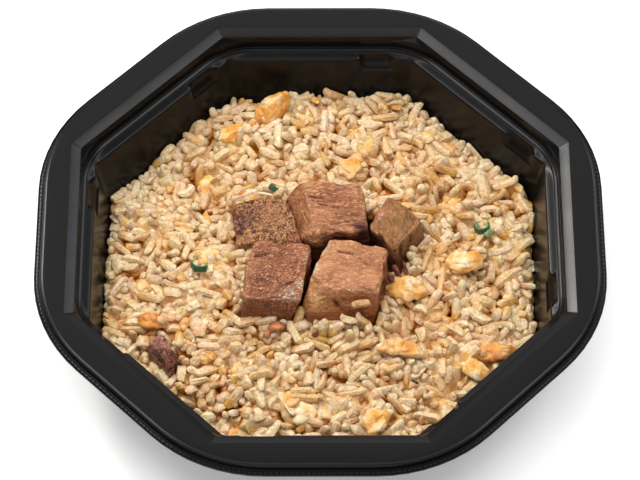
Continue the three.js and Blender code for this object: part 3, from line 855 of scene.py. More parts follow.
def turned(points, tilt, yaw):
    """Turns points about Y by tilt, then about Z by yaw, in degrees."""
    a, b = np.radians(tilt), np.radians(yaw)
    about_y = np.array([[np.cos(a), 0, np.sin(a)], [0, 1, 0], [-np.sin(a), 0, np.cos(a)]])
    about_z = np.array([[np.cos(b), -np.sin(b), 0], [np.sin(b), np.cos(b), 0], [0, 0, 1]])
    return points @ about_y.T @ about_z.T


def ball(around, rings):
    """A unit ball with its axis along Z: rings at equal steps of latitude, and two poles."""
    latitude = np.linspace(-np.pi / 2, np.pi / 2, rings + 2)[1:-1, None]
    longitude = np.arange(around) * 2 * np.pi / around
    flat = np.cos(latitude)
    grid = np.stack([flat * np.cos(longitude), flat * np.sin(longitude),
                     np.sin(latitude) + 0 * longitude], -1)
    points = np.concatenate([grid.reshape(-1, 3), [[0, 0, -1], [0, 0, 1]]])
    return points, *closed_faces(rings, around)


def curd_points(unit, spot, size, yaw, tilt, bend, order, crumple):
    """Ball points times half of each size and 1 + 0.09 sin cos + 0.05 sin, lifted in the
    middle by bend * half the length * (1 - 2x^2) / 2, moved out by soft noise and in along
    creases where another noise crosses zero."""
    lobes = (1 + 0.09 * np.sin(3.1 * unit[:, 0] + order) * np.cos(3.7 * unit[:, 1] - order)
             + 0.05 * np.sin(5 * unit[:, 1] + 2 * order + 2 * unit[:, 2]))
    half = np.array(size) / 2
    flap = bend * half[0] * (1 - 2 * unit[:, 0] ** 2) * 0.5
    p = unit * lobes[:, None] * half
    p[:, 2] += flap
    fold = noise(p * [1, 1, 0.6], 2.6, order)
    crease = np.exp(-((fold / 0.16) ** 2))
    swell = lumps(p, 2.6, order + 5, 3)
    reach = crumple * np.cbrt(np.prod(half)) * (0.3 * swell - 0.22 * crease)
    p = p + unit * reach[:, None]
    return turned(p, tilt, yaw) + spot, crease, swell


UNIT_CURD = ball(60, 40)
CURD_SUNK = 0.6


def egg_curd(name, order):
    """One large curd as its own piece, browned on its high swells and edges, with a little painted
    shade in its creases. The far one is the smoothest."""
    x, y, size, yaw, tilt, lift, bend, brown = CURDS[name]
    unit, quads, caps = UNIT_CURD
    spot = [x, y, rice_height(x, y) + lift - CURD_SUNK]
    crumple = 0.3 if name == "egg_far" else 0.5
    p, crease, swell = curd_points(unit, spot, size, yaw, tilt, bend, order, crumple)
    piece = put_mesh(name + "_curd", held_inside(p), quads, caps)
    edge = np.abs(unit[:, 0]) ** 3
    # The crease term adds a little painted shade in the folds.
    brown_and_crease_shade = brown * (0.55 + 0.5 * swell + 0.35 * edge) + 0.12 * crease
    paint(piece, "brown_and_crease_shade", np.clip(brown_and_crease_shade, 0, 1))
    paint(piece, "pale", np.clip(0.45 + 0.45 * swell + 0.5 * noise(p, 4, order), 0, 1))
    return piece


# %% [markdown]
# Fried egg is a wet, slightly translucent yellow that runs from pale cream, where white was not
# fully beaten in, to deep yellow, and to orange-brown where it caught. It has a soft oily
# shine. The attributes painted on each curd carry where it browned, with a little painted shade
# in its creases, and noise of about 1.5 mm breaks the edges of those patches.


# %% Fried egg
def fried_egg():
    material = new_material("fried_egg")
    where = node(material, "ShaderNodeTexCoord").outputs["Object"]
    brown_and_crease_shade = node(material, "ShaderNodeAttribute", {"attribute_name": "brown_and_crease_shade"}).outputs["Fac"]
    pale = node(material, "ShaderNodeAttribute", {"attribute_name": "pale"}).outputs["Fac"]
    patch = node(material, "ShaderNodeTexNoise", Vector=where, Scale=1 / (1.5 * MM), Detail=3.0)
    yellow = node(material, "ShaderNodeValToRGB", Fac=pale,
                  stops=[(0.0, "D2903C"), (0.4, "E0AA5C"), (0.75, "E6C288"), (1.0, "EAD4AE")])
    uneven = node(material, "ShaderNodeMath", {"operation": "MULTIPLY_ADD"},
                  Value=patch.outputs["Fac"], Value_001=0.5, Value_002=brown_and_crease_shade)
    share = node(material, "ShaderNodeMapRange", Value=uneven.outputs["Value"], From_Min=0.35,
                 From_Max=1.0)
    colour = node(material, "ShaderNodeMix", {"data_type": "RGBA"},
                  Factor_Float=share.outputs["Result"], A_Color=yellow.outputs["Color"],
                  B_Color=linear("B56A22"))
    return moist_food(material, colour.outputs[2], patch.outputs["Fac"], (0.7, 0.3),
                      Roughness=0.4, Subsurface_Weight=0.6, Subsurface_Scale=1.5,
                      Subsurface_Radius=(1.0, 0.6, 0.32), Coat_Weight=0.2, Coat_Roughness=0.22)


egg = fried_egg()
for order, name in enumerate(CURDS):
    place(egg_curd(name, order), egg, "scrambled_egg", name)


# %% [markdown]
# ## Packing the grains
#
# Loose grains can't be laid at random without passing through each other, and a rigid-body
# run of thousands is slow. So each grain is treated as a short row of four balls, and a simple
# relaxation does the settling, with all grains handled at once as arrays.

# %% Number and size of grains
GRAINS = 3750
BALLS = 4
START_REACH = 72.5
SLAB = 7.6
MOUND_HEIGHT, TRENCH_DEPTH = 2.0, 2.4
ROUNDS = 150
PAIR_EVERY = 6
BLOCK_GAP = 0.15
BED_GAP = 0.6
# How far the grains sink in each round, in mm: first fast, then slowly over the last fifth.
SINK = (0.06, 0.015)
# How near two balls may come, as a share of their radii, in sticky rice and in loose rice.
CLING = (0.6, 0.86)
# Mean and spread of a grain's length and of half its thickness, in mm.
GRAIN_LENGTH = (8.2, 1.5)
GRAIN_HALF = (1.5, 0.18)
BROKEN_SHARE = 0.3


def grain_start(random):
    """Seeded middles under the heap's surface, directions mostly lying, lengths and half
    thicknesses. Three in ten are broken, to between half and three quarters of the length."""
    many = random.uniform(-76, 76, (GRAINS * 2, 2))
    xy = many[octagon_apothem(*many.T) < START_REACH][:GRAINS]
    middle = np.column_stack([xy, rice_height(*xy.T) - random.uniform(0, 1, GRAINS) * SLAB])
    direction = normalised(random.normal(size=(GRAINS, 3)) * [1, 1, 0.85])
    length = np.clip(random.normal(*GRAIN_LENGTH, GRAINS), 4.6, 10.0)
    broken = random.random(GRAINS) < BROKEN_SHARE
    length = np.where(broken, length * random.uniform(0.5, 0.75, GRAINS), length)
    half = np.clip(random.normal(*GRAIN_HALF, GRAINS), 1.0, 1.85) + 0.1 * broken
    return middle, direction, length, half, broken


def crevice(points):
    """Near 1 along winding lines where clumps part, and 0 inside a clump: the bell curve of a
    slow noise, so it peaks where that noise crosses zero, faded out in places by a second."""
    flat = points * [1, 1, 0]
    line = np.exp(-((noise(flat, 10, 13) / 0.13) ** 2))
    return line * np.clip(0.5 + 1.5 * noise(flat, 15, 14), 0, 1)


# %% [markdown]
# Comparing every ball with every other would be a hundred million distances in each round. So
# space is cut into cells, and a ball is compared only with those in the cells around its own.

# %% Neighbours
NEAR = 3.9


def near_pairs(points, reach):
    """Pairs of points in the same or neighbouring cells of a cubic grid: cells get one key
    each, the keys are sorted, and each of the 14 forward neighbours is found by bisection."""
    cell = np.floor((points - points.min(axis=0)) / reach).astype(np.int64) + 1
    span = cell.max(axis=0) + 2
    key = (cell[:, 0] * span[1] + cell[:, 1]) * span[2] + cell[:, 2]
    order = np.argsort(key, kind="stable")
    ranked = key[order]
    steps = [(a * span[1] + b) * span[2] + c for a, b, c in np.ndindex(3, 3, 3)]
    offsets = np.array(steps) - steps[13]
    firsts, seconds = [], []
    for offset in offsets[13:]:
        low = np.searchsorted(ranked, key + offset, "left")
        count = np.searchsorted(ranked, key + offset, "right") - low
        first = np.repeat(np.arange(len(points)), count)
        within = np.arange(count.sum()) - np.repeat(np.cumsum(count) - count, count)
        second = order[np.repeat(low, count) + within]
        keep = first < second if offset == 0 else slice(None)
        firsts.append(first[keep])
        seconds.append(second[keep])
    first, second = np.concatenate(firsts), np.concatenate(seconds)
    keep = np.sum((points[second] - points[first]) ** 2, axis=1) < reach**2
    return first[keep], second[keep]


# %% [markdown]
# The wall, the pork and the egg hold the grains up or aside. Each has a simple stand-in:
# planes for a cube, an ellipsoid for a curd, and the wall's own slope. The bed under the
# grains has mounds and trenches, because stirred rice breaks up into clumps.


# %% What pushes back
def block_planes(shape):
    """Outward unit directions and offsets of a cut of pork's six faces and its knife cuts. A
    face's direction is the cross product of its diagonals."""
    low, high = corner_points(shape["lower"]), corner_points(shape["upper"])
    rings = [high, low[::-1]]
    rings += [np.array([low[k], low[(k + 1) % 4], high[(k + 1) % 4], high[k]]) for k in range(4)]
    ways, offsets = [], []
    for ring in rings:
        way = np.cross(ring[2] - ring[0], ring[3] - ring[1])
        way /= np.linalg.norm(way)
        ways.append(way)
        offsets.append(way @ ring.mean(axis=0))
    for facing, through in shape["cuts"]:
        way = np.array(facing) / np.linalg.norm(facing)
        ways.append(way)
        offsets.append(way @ np.array(through))
    return np.array(ways), np.array(offsets)


BLOCKS = [block_planes(shape) for shape in PORK.values()]


def push_from_blocks(points, radius):
    """Out of each block along the plane that a ball is least far behind."""
    push = np.zeros_like(points)
    for ways, offsets in BLOCKS:
        behind = points @ ways.T - offsets
        face = np.argmax(behind, axis=1)
        depth = radius - np.take_along_axis(behind, face[:, None], 1)[:, 0] - BLOCK_GAP
        push += np.maximum(depth, 0)[:, None] * ways[face]
    return push


def push_from_curds(points, radius):
    """Out of each curd, taken as an ellipsoid: the share by which its scaled distance from
    the middle falls short of 1 is made up along the line from the middle."""
    push = np.zeros_like(points)
    for x, y, size, yaw, tilt, lift, *_ in CURDS.values():
        middle = np.array([x, y, rice_height(x, y) + lift - CURD_SUNK])
        local = turned(turned(points - middle, 0, -yaw), -tilt, 0)
        half = 0.3 * np.array(size)
        scaled = np.linalg.norm(local / (half[None] + 0.6 * radius[:, None]), axis=1)
        short = np.clip(1 / np.maximum(scaled, 0.2) - 1, 0, 1)
        push += (points - middle) * short[:, None]
    return push


def push_from_tray(points, radius):
    """In from the wall, along the direction of the nearest side, and up from the bed, which
    lies under the slab of grains and has mounds, and trenches where clumps part."""
    out = np.stack(side_direction(points[:, 0], points[:, 1]), 1)
    over = np.sum(points[:, :2] * out, axis=1) + radius - wall_apothem(points[:, 2]) + WALL_GAP
    push = np.zeros_like(points)
    push[:, :2] = -out * np.maximum(over, 0)[:, None]
    mounds = MOUND_HEIGHT * lumps(points * [1, 1, 0], 9, 9, 2) - TRENCH_DEPTH * crevice(points)
    bed = np.maximum(rice_height(points[:, 0], points[:, 1]) - SLAB - BED_GAP + mounds, SHEET)
    push[:, 2] = np.maximum(bed + radius - points[:, 2], 0)
    return push


# %% [markdown]
# In each round every pair of balls that overlap is pushed apart, the pushes move and turn their
# grains, and the whole heap sinks a little. Starch makes rice cling, so in sticky places the
# grains may lie closer than where the rice is loose.


# %% Settling the heap
def settle(middle, direction, length, half):
    """Each round: overlaps of ball pairs are shared out half and half, a grain moves by the
    mean push of its balls and turns by the sum of (place along it * push) over the sum of
    place squared, and sinks by a set step. Neighbours are looked up every few rounds."""
    count = len(middle)
    along = np.linspace(-0.5, 0.5, BALLS) * (length - 2 * half)[:, None]
    radius = np.repeat(half, BALLS)
    owner = np.repeat(np.arange(count), BALLS)
    arm = np.sum(along**2, axis=1) + half**2
    sticky = np.clip(0.5 + 0.9 * noise(np.repeat(middle, BALLS, axis=0), 9, 3), 0, 1)
    cling = CLING[1] - (CLING[1] - CLING[0]) * sticky
    for turn in range(ROUNDS):
        balls = (middle[:, None] + along[..., None] * direction[:, None]).reshape(-1, 3)
        if turn % PAIR_EVERY == 0:
            first, second = near_pairs(balls, NEAR)
            other = owner[first] != owner[second]
            first, second = first[other], second[other]
        apart = balls[second] - balls[first]
        distance = np.linalg.norm(apart, axis=1) + 1e-9
        overlap = np.maximum((radius[first] + radius[second]) * cling[first] - distance, 0)
        share = (0.5 * overlap / distance)[:, None] * apart
        push = np.stack([
            np.bincount(second, share[:, k], len(balls)) - np.bincount(first, share[:, k], len(balls))
            for k in range(3)
        ], axis=1)
        hits = np.bincount(first, overlap > 0, len(balls)) + np.bincount(second, overlap > 0, len(balls))
        for source in (push_from_tray, push_from_blocks, push_from_curds):
            extra = source(balls, radius)
            push += extra
            hits = hits + (np.abs(extra).sum(axis=1) > 0)
        push = (push / np.sqrt(np.maximum(hits, 1))[:, None]).reshape(count, BALLS, 3)
        touched = np.maximum((hits.reshape(count, BALLS) > 0).sum(axis=1), 1)
        move = push.sum(axis=1) / touched[:, None]
        swing = np.sum(along[..., None] * (push - move[:, None]), axis=1) / arm[:, None]
        middle = middle + move
        middle[:, 2] -= SINK[0] if turn < 0.8 * ROUNDS else SINK[1]
        direction = normalised(direction + swing)
    print("mean overlap left:", round(float(overlap[overlap > 0].mean()), 3), "mm")
    return middle, direction, balls, radius


random = np.random.default_rng(7)
middle, direction, length, half, broken = grain_start(random)
middle, direction, balls, ball_radius = settle(middle, direction, length, half)

# %% [markdown]
# A few grains cling to the wet front of the right cube, and some lie against the foot of the
# two front ones. The settling pushes grains off the meat, so these are listed one by one and placed
# after it.

# %% Grains stuck to the pork
STRAY_LENGTH, STRAY_HALF = 6.4, 1.35
# Each row: the middle, then the direction.
STRAYS = np.array([
    [13.4, -24.7, 28.8, 1, 0.1, 0.05],
    [9.2, -28.6, 24.6, 0.9, -0.4, 0.1], [5.4, -30.6, 22.6, 0.5, 0.3, 0.5],
    [13.6, -28.4, 23.6, 0.6, -0.3, -0.5], [-2.4, -31.2, 22.4, 0.2, 0.3, 0.9],
    [0.4, -31.4, 22.6, -0.2, 0.3, 0.9],
])
middle = np.concatenate([middle, STRAYS[:, :3]])
direction = np.concatenate([direction, normalised(STRAYS[:, 3:])])
length = np.append(length, np.full(len(STRAYS), STRAY_LENGTH))
half = np.append(half, np.full(len(STRAYS), STRAY_HALF))
broken = np.append(broken, np.zeros(len(STRAYS), dtype=bool))

# %% [markdown]
# Sauce and painted shade gather low between the grains, and small toppings rest on top of them,
# so both need to know how high the grains reach at each spot. Every ball writes its top into
# the cells of a map that it covers, keeping the highest, and a smoothed copy gives the level
# around a spot.

# %% Height of the grains
CELL = 0.5
MAP_HALF = 160
CELLS_ACROSS = 9


def reach_map(balls, radius):
    """At each cell's middle, the highest z + sqrt(radius^2 - distance^2) of the balls there."""
    top = rice_height(*np.meshgrid(*[np.arange(-MAP_HALF, MAP_HALF) * CELL] * 2, indexing="ij"))
    top = top - SLAB
    for step in np.ndindex(CELLS_ACROSS, CELLS_ACROSS):
        cell = np.floor(balls[:, :2] / CELL).astype(int) + step - CELLS_ACROSS // 2
        gap = (cell + 0.5) * CELL - balls[:, :2]
        room = radius**2 - np.sum(gap**2, axis=1)
        hit = room > 0
        reach = balls[hit, 2] + np.sqrt(room[hit])
        np.maximum.at(top, tuple((cell[hit] + MAP_HALF).T), reach)
    return top


def blurred(heights, times):
    """The mean of each cell and its four neighbours, taken again and again."""
    for _ in range(times):
        pad = np.pad(heights, 1, mode="edge")
        heights = (heights + pad[2:, 1:-1] + pad[:-2, 1:-1] + pad[1:-1, 2:] + pad[1:-1, :-2]) / 5
    return heights


def map_at(heights, x, y):
    """The map's value at a place, mixed from the four nearest cells by how near they are."""
    u, v = x / CELL + MAP_HALF - 0.5, y / CELL + MAP_HALF - 0.5
    i, j = np.floor(u).astype(int), np.floor(v).astype(int)
    a, b = u - i, v - j
    low = heights[i, j] * (1 - a) + heights[i + 1, j] * a
    high = heights[i, j + 1] * (1 - a) + heights[i + 1, j + 1] * a
    return low * (1 - b) + high * b


grain_tops = reach_map(balls, ball_radius)
grain_level = blurred(grain_tops, 24)
above_heap = map_at(grain_level, middle[:, 0], middle[:, 1]) - rice_height(*middle[:, :2].T)
print("grain tops over the heap, mm:", round(float(above_heap.mean()), 2))

# %% [markdown]
# ## The grains
#
# A cooked grain is a plump rod, 5 to 10 mm long and about 3 mm thick, with one blunter end
# where the germ was, a slight bend and a flattened section. It is made as eight points round
# and six rings along, 56 faces, since there are thousands. Frying tosses the grains about, so
# they are dented and squared by their neighbours: the faces are flat shaded, and noise about
# 2 mm across dents them, more on broken grains, which end square. Whole, bent and broken
# grains are one piece each.

# %% Shape of a grain
AROUND = 8
END_PLACES = np.array([0.1, 0.42, 1.2])
RINGS = 2 * len(END_PLACES)
POINTS_PER_GRAIN = RINGS * AROUND + 2


def grain_points(middle, direction, length, half, broken, bend, random):
    """Rings at set distances from the two tips, of radius half * sqrt(1 - s^2) where s is how
    far into the rounded end a ring lies, 0 to 1. One end is blunter, a broken one nearly flat.
    The middle line bows by a share of t^2, rings and single points waver a little, every other
    row of points stands out as a soft ridge, and noise dents the whole."""
    count = len(middle)
    blunt = random.uniform(0.85, 1.25, (count, 2)) * half[:, None]
    blunt[:, 1] = np.where(broken, 0.35 * half, blunt[:, 1])
    near = END_PLACES[None] * blunt[:, :1]
    far = length[:, None] - END_PLACES[None, ::-1] * blunt[:, 1:]
    place_along = np.concatenate([near, far], axis=1)
    t = 2 * place_along / length[:, None] - 1
    into = np.concatenate([1 - END_PLACES, 1 - END_PLACES[::-1]])
    radius = half[:, None] * np.sqrt(1 - np.clip(into, 0, 1) ** 2)
    radius = radius * (1 - 0.12 * t**2 + random.uniform(-0.1, 0.1, (count, 1)) * t)
    radius *= 1 + random.normal(0, 0.04, radius.shape)
    aside = normalised(np.cross(direction, random.normal(size=(count, 3))))
    above = np.cross(direction, aside)
    wide = random.uniform(1.0, 1.14 + 0.4 * broken[:, None, None])
    thin = random.uniform(0.86, 0.98, (count, 1, 1))
    angle = np.arange(AROUND) * 2 * np.pi / AROUND
    bow = random.uniform(0.0, bend, (count, 1)) * t**2 * half[:, None]
    line = (middle[:, None] + t[..., None] * (length / 2)[:, None, None] * direction[:, None]
            + bow[..., None] * above[:, None]
            + random.normal(0, 0.08, (*t.shape, 1)) * aside[:, None])
    ridge = 0.1 * (-1.0) ** np.arange(AROUND) * random.uniform(0, 1, (count, 1, 1))
    radius = radius[..., None] * (1 + ridge + random.normal(0, 0.05, (*t.shape, AROUND)))
    ring = (np.cos(angle)[:, None] * (wide * radius)[..., None] * aside[:, None, None]
            + np.sin(angle)[:, None] * (thin * radius)[..., None] * above[:, None, None])
    grid = (line[:, :, None] + ring).reshape(count, -1, 3)
    tip = (length / 2)[:, None] * direction
    end_bow = bow[:, [0, -1], None] * above[:, None]
    poles = np.stack([middle - tip, middle + tip], axis=1) + end_bow
    p = np.concatenate([grid, poles], axis=1).reshape(-1, 3)
    rough = np.repeat(0.16 + 0.3 * broken, POINTS_PER_GRAIN)[:, None]
    return p + rough * np.stack([lumps(p, 1.8, k, 2) for k in (31, 32, 33)], -1)


# %% [markdown]
# Starch glues grains into clumps, and where clumps part there are dark pits. Both are worked
# out from a place alone, so that the grains, the core and the crumbs agree on them.

# %% Clumps and pits
PIT_COUNT = 75
pit_spots = random.uniform(-66, 66, (PIT_COUNT, 2))
PITS = np.column_stack([pit_spots, random.uniform(1.0, 1.8, PIT_COUNT)])


def clumped(points):
    """1 inside a clump of grains that stick together, 0 in loose rice, by a slow noise."""
    return np.clip(0.5 + 1.6 * noise(points * [1, 1, 0], 11, 21), 0, 1)


def in_pit(points):
    """Near 1 in the middle of a pit between clumps: the highest of exp(-(distance / radius)^2)."""
    gap = points[..., None, :2] - PITS[:, :2]
    return np.exp(-np.sum(gap**2, axis=-1) / PITS[:, 2] ** 2).max(axis=-1)


# %% [markdown]
# Sauce colours rice unevenly. A slow noise makes whole areas paler or browner, and egg gilds
# some grains. Shade is painted in too: with the sauce's colour deep between grains and in the
# pits, more faintly on each grain's flanks below its crest, and darkest deep under the heap.
# The colour is painted on the points, so that each grain can have its own.

# %% Colour of each grain
PINK_RICE = np.array(linear("E4D0B2")[:3])
IVORY_RICE = np.array(linear("E4D4AA")[:3])
TAN_RICE = np.array(linear("D3A268")[:3])
GOLDEN_RICE = np.array(linear("E0AC52")[:3])
# The share of red, green and blue left deep between grains, by sauce and painted shade, and on
# their flanks, by painted shade.
SAUCE_AND_PAINTED_SHADE = np.array([0.62, 0.3, 0.03])
FLANK_PAINTED_SHADE = np.array([0.84, 0.63, 0.22])


def rice_colours(points, base, own, flank):
    """From base to tan by a slow noise that neighbours share, a finer one and own, each grain's
    chance. Golden where egg has coated it. The sauce's colour, with painted shade, where it lies
    deep and in the pits, and in slow patches. Painted shade more faintly on a grain's flanks,
    and to near black deep under the heap."""
    share = 0.2 + 0.4 * lumps(points, 9, 5, 2) + 0.3 * noise(points, 2.2, 6) + own
    colour = base + (TAN_RICE - base) * np.clip(share, 0, 1)[:, None]
    gold = np.clip(2.4 * noise(points, 5, 8) - 0.8, 0, 1) * 0.7
    colour = colour + (GOLDEN_RICE - colour) * gold[:, None]
    # Sauce and painted shade deep between grains, in patches and in the pits.
    deep = map_at(grain_level, points[:, 0], points[:, 1]) - points[:, 2]
    sauce_and_shade = np.clip((deep - 0.4) / 2.2, 0, 1)
    sauce_and_shade = sauce_and_shade + 0.25 * np.clip(lumps(points, 10, 11, 2), 0, 1) + 0.6 * in_pit(points)
    colour *= 1 + (SAUCE_AND_PAINTED_SHADE - 1) * np.clip(sauce_and_shade, 0, 1)[:, None]
    # Painted shade on a grain's flanks below its crest.
    colour *= 1 + (FLANK_PAINTED_SHADE - 1) * flank[:, None]
    # Painted shade darkens grains deep under the heap to near black.
    under = rice_height(points[:, 0], points[:, 1]) - points[:, 2]
    return np.clip(colour * (1 - 0.9 * np.clip((under - 5) / 4, 0, 1))[:, None], 0, 1)


# %% [markdown]
# Cooked rice is starch gel: off-white to tan here from soy and egg, translucent for a couple of
# millimetres, so light bleeds softly through a grain and its edges glow. A thin film of frying
# oil gives small sharp highlights over a duller surface. Noise 1 mm across clouds the skin and
# pits it, as the starch swells unevenly.


# %% Oiled rice
def oiled_rice():
    material = new_material("oiled_rice")
    where = node(material, "ShaderNodeTexCoord").outputs["Object"]
    tint = node(material, "ShaderNodeAttribute", {"attribute_name": "tint"}).outputs["Color"]
    skin = node(material, "ShaderNodeTexNoise", Vector=where, Scale=1 / (1.0 * MM), Detail=3.0,
                Roughness=0.55)
    cloud = node(material, "ShaderNodeValToRGB", Fac=skin.outputs["Fac"],
                 stops=[(0.3, "C2A078"), (0.6, "FFFFFF")])
    colour = node(material, "ShaderNodeMix", {"data_type": "RGBA", "blend_type": "MULTIPLY"},
                  Factor_Float=0.6, A_Color=tint, B_Color=cloud.outputs["Color"])
    return moist_food(material, colour.outputs[2], skin.outputs["Fac"], (1.0, 0.3),
                      Roughness=0.5, Subsurface_Weight=0.5, Subsurface_Scale=0.9,
                      Subsurface_Radius=(1.0, 0.6, 0.3), Coat_Weight=0.15, Coat_Roughness=0.2)


rice = oiled_rice()

# %% [markdown]
# A grain is left out where it would stand in a pit, in the open well between the cubes, or
# inside a cube. The rest are sorted into the three kinds and joined, one mesh for each kind.

# %% Making the grain pieces
WELL = np.array([[-22, -23], [18, -21], [23, -7], [33, 5], [25, 15], [12, 18], [-11, 18],
                 [-27, 14], [-23, -4]])
WELL_FLOOR = 9.0
LOWEST_GRAIN = 2.5


def in_well(points):
    """True for points left of every side of the outline, which runs round anticlockwise."""
    run = np.roll(WELL, -1, axis=0) - WELL
    away = points[..., None, :2] - WELL
    return (run[:, 0] * away[..., 1] - run[:, 1] * away[..., 0] > 0).all(axis=-1)


def kept_grains(middle):
    """True for grains outside the pits, the well between the cubes, and every cube."""
    sunk = map_at(grain_level, middle[:, 0], middle[:, 1]) - middle[:, 2]
    keep = ~(in_well(middle) & (middle[:, 2] > WELL_FLOOR)) & (middle[:, 2] > LOWEST_GRAIN)
    keep &= (in_pit(middle) < 0.3) | (sunk > 4)
    for ways, offsets in BLOCKS:
        keep &= (middle @ ways.T - offsets).max(axis=1) > -0.2
    return keep


def grain_piece(name, chosen, random, bend=0.6):
    """The chosen grains as one mesh, with a colour for each point. Each grain starts between
    pink and ivory by chance, and its flanks, where shade is painted, are how far each point lies
    under its crest."""
    count = int(chosen.sum())
    p = grain_points(middle[chosen], direction[chosen], length[chosen], half[chosen],
                     broken[chosen], bend, random)
    faces = copies_of(count, POINTS_PER_GRAIN, *closed_faces(RINGS, AROUND))
    piece = put_mesh(name, held_inside(p), *faces, smooth=False)
    own = np.repeat(random.normal(0, 0.15, count), POINTS_PER_GRAIN)
    share = np.repeat(random.random(count), POINTS_PER_GRAIN)[:, None]
    base = PINK_RICE + (IVORY_RICE - PINK_RICE) * share
    crest = p.reshape(count, -1, 3)[..., 2].max(axis=1)
    flank = np.clip((np.repeat(crest, POINTS_PER_GRAIN) - p[:, 2] - 1.3) / 1.6, 0, 1)
    paint(piece, "tint", rice_colours(p, base, own, flank))
    place(piece, rice, "cooked_rice")
    return piece


keep = kept_grains(middle)
bent = random.random(len(middle)) < 0.35
grain_piece("rice_whole", keep & ~bent & ~broken, random)
grain_piece("rice_bent", keep & bent & ~broken, random, bend=1.3)
grain_piece("rice_broken", keep & broken, random)
print("grains shown:", int(keep.sum()))

# %% [markdown]
# ## The core under the grains
#
# Only the top few layers of grains can be seen, so the rest of the heap is one closed lump
# that lies just under them. Cooked rice sticks together with starch and sauce, and this lump
# is that filling: its top follows the grains at a small depth, so the gaps between them are
# shallow and tan, and dark only where a deeper hole is left.

# %% Rice core
CLUMP_DEPTH = 0.5
LOOSE_DEPTH = 2.2
CORE_COLUMNS = 460
CORE_ROWS = 150
# The core's side and foot: share of its edge's reach, and height.
CORE_SIDE = np.array([[0.975, 5.0], [0.93, SHEET + 0.4]])
near_tops = blurred(grain_tops, 5)


def rice_core():
    """Rings of an octagon from the middle out to the wall, at the grains' smoothed tops less a
    depth, small in clumps and larger in loose rice, with holes at the pits, then down the wall
    and along the floor."""
    share = np.linspace(0.01, 1, CORE_ROWS)[:, None]
    angle = np.arange(CORE_COLUMNS) * 2 * np.pi / CORE_COLUMNS
    off_side = (angle + STEP / 2) % STEP - STEP / 2
    reach = (wall_apothem(10.0) - 0.5) / np.cos(off_side)
    x, y = share * reach * np.cos(angle), share * reach * np.sin(angle)
    flat = np.stack([x, y, 0 * x], -1)
    depth = LOOSE_DEPTH + (CLUMP_DEPTH - LOOSE_DEPTH) * clumped(flat)
    holes = 2.5 * np.clip(lumps(flat, 5, 2) - 0.1, 0, 1) * (1 - clumped(flat))
    holes = holes + 2.5 * crevice(flat) + 4.5 * in_pit(flat)
    z = map_at(near_tops, x, y) - depth - holes + 0.5 * lumps(flat, 1.8, 12, 2)
    z = np.where(in_well(flat), WELL_FLOOR, z)
    inward, height = CORE_SIDE[:, :1], CORE_SIDE[:, 1:]
    side = np.stack([x[-1] * inward, y[-1] * inward, height + 0 * x[:2]], -1)
    grid = np.concatenate([np.stack([x, y, z], -1), side])
    poles = [[0, 0, float(z[0].mean())], [0, 0, float(height[-1, 0])]]
    points = np.concatenate([grid.reshape(-1, 3), poles])
    piece = put_mesh("rice_core", points, *closed_faces(len(grid), CORE_COLUMNS, flip=True))
    base = IVORY_RICE + (PINK_RICE - IVORY_RICE) * np.clip(0.5 + noise(points, 3, 9), 0, 1)[:, None]
    # The core takes the grains' colours, with 0.4 of the painted flank shade all over.
    paint(piece, "tint", rice_colours(points, base, 0.15, 0.4 + 0 * points[:, 0]))
    return piece


place(rice_core(), rice, "cooked_rice", "fried_rice")

# %% [markdown]
# ## Small scraps of egg
#
# The stirring leaves far more small scraps than large curds. They lie all over the rice, some
# flat and yellow, some thin, brown and standing. The ones big enough to see for themselves
# are listed one by one, and the rest are crumbs scattered by chance. Each lies at the level
# that the grains reach there, sunk in by half so that it looks mixed in and not laid on.

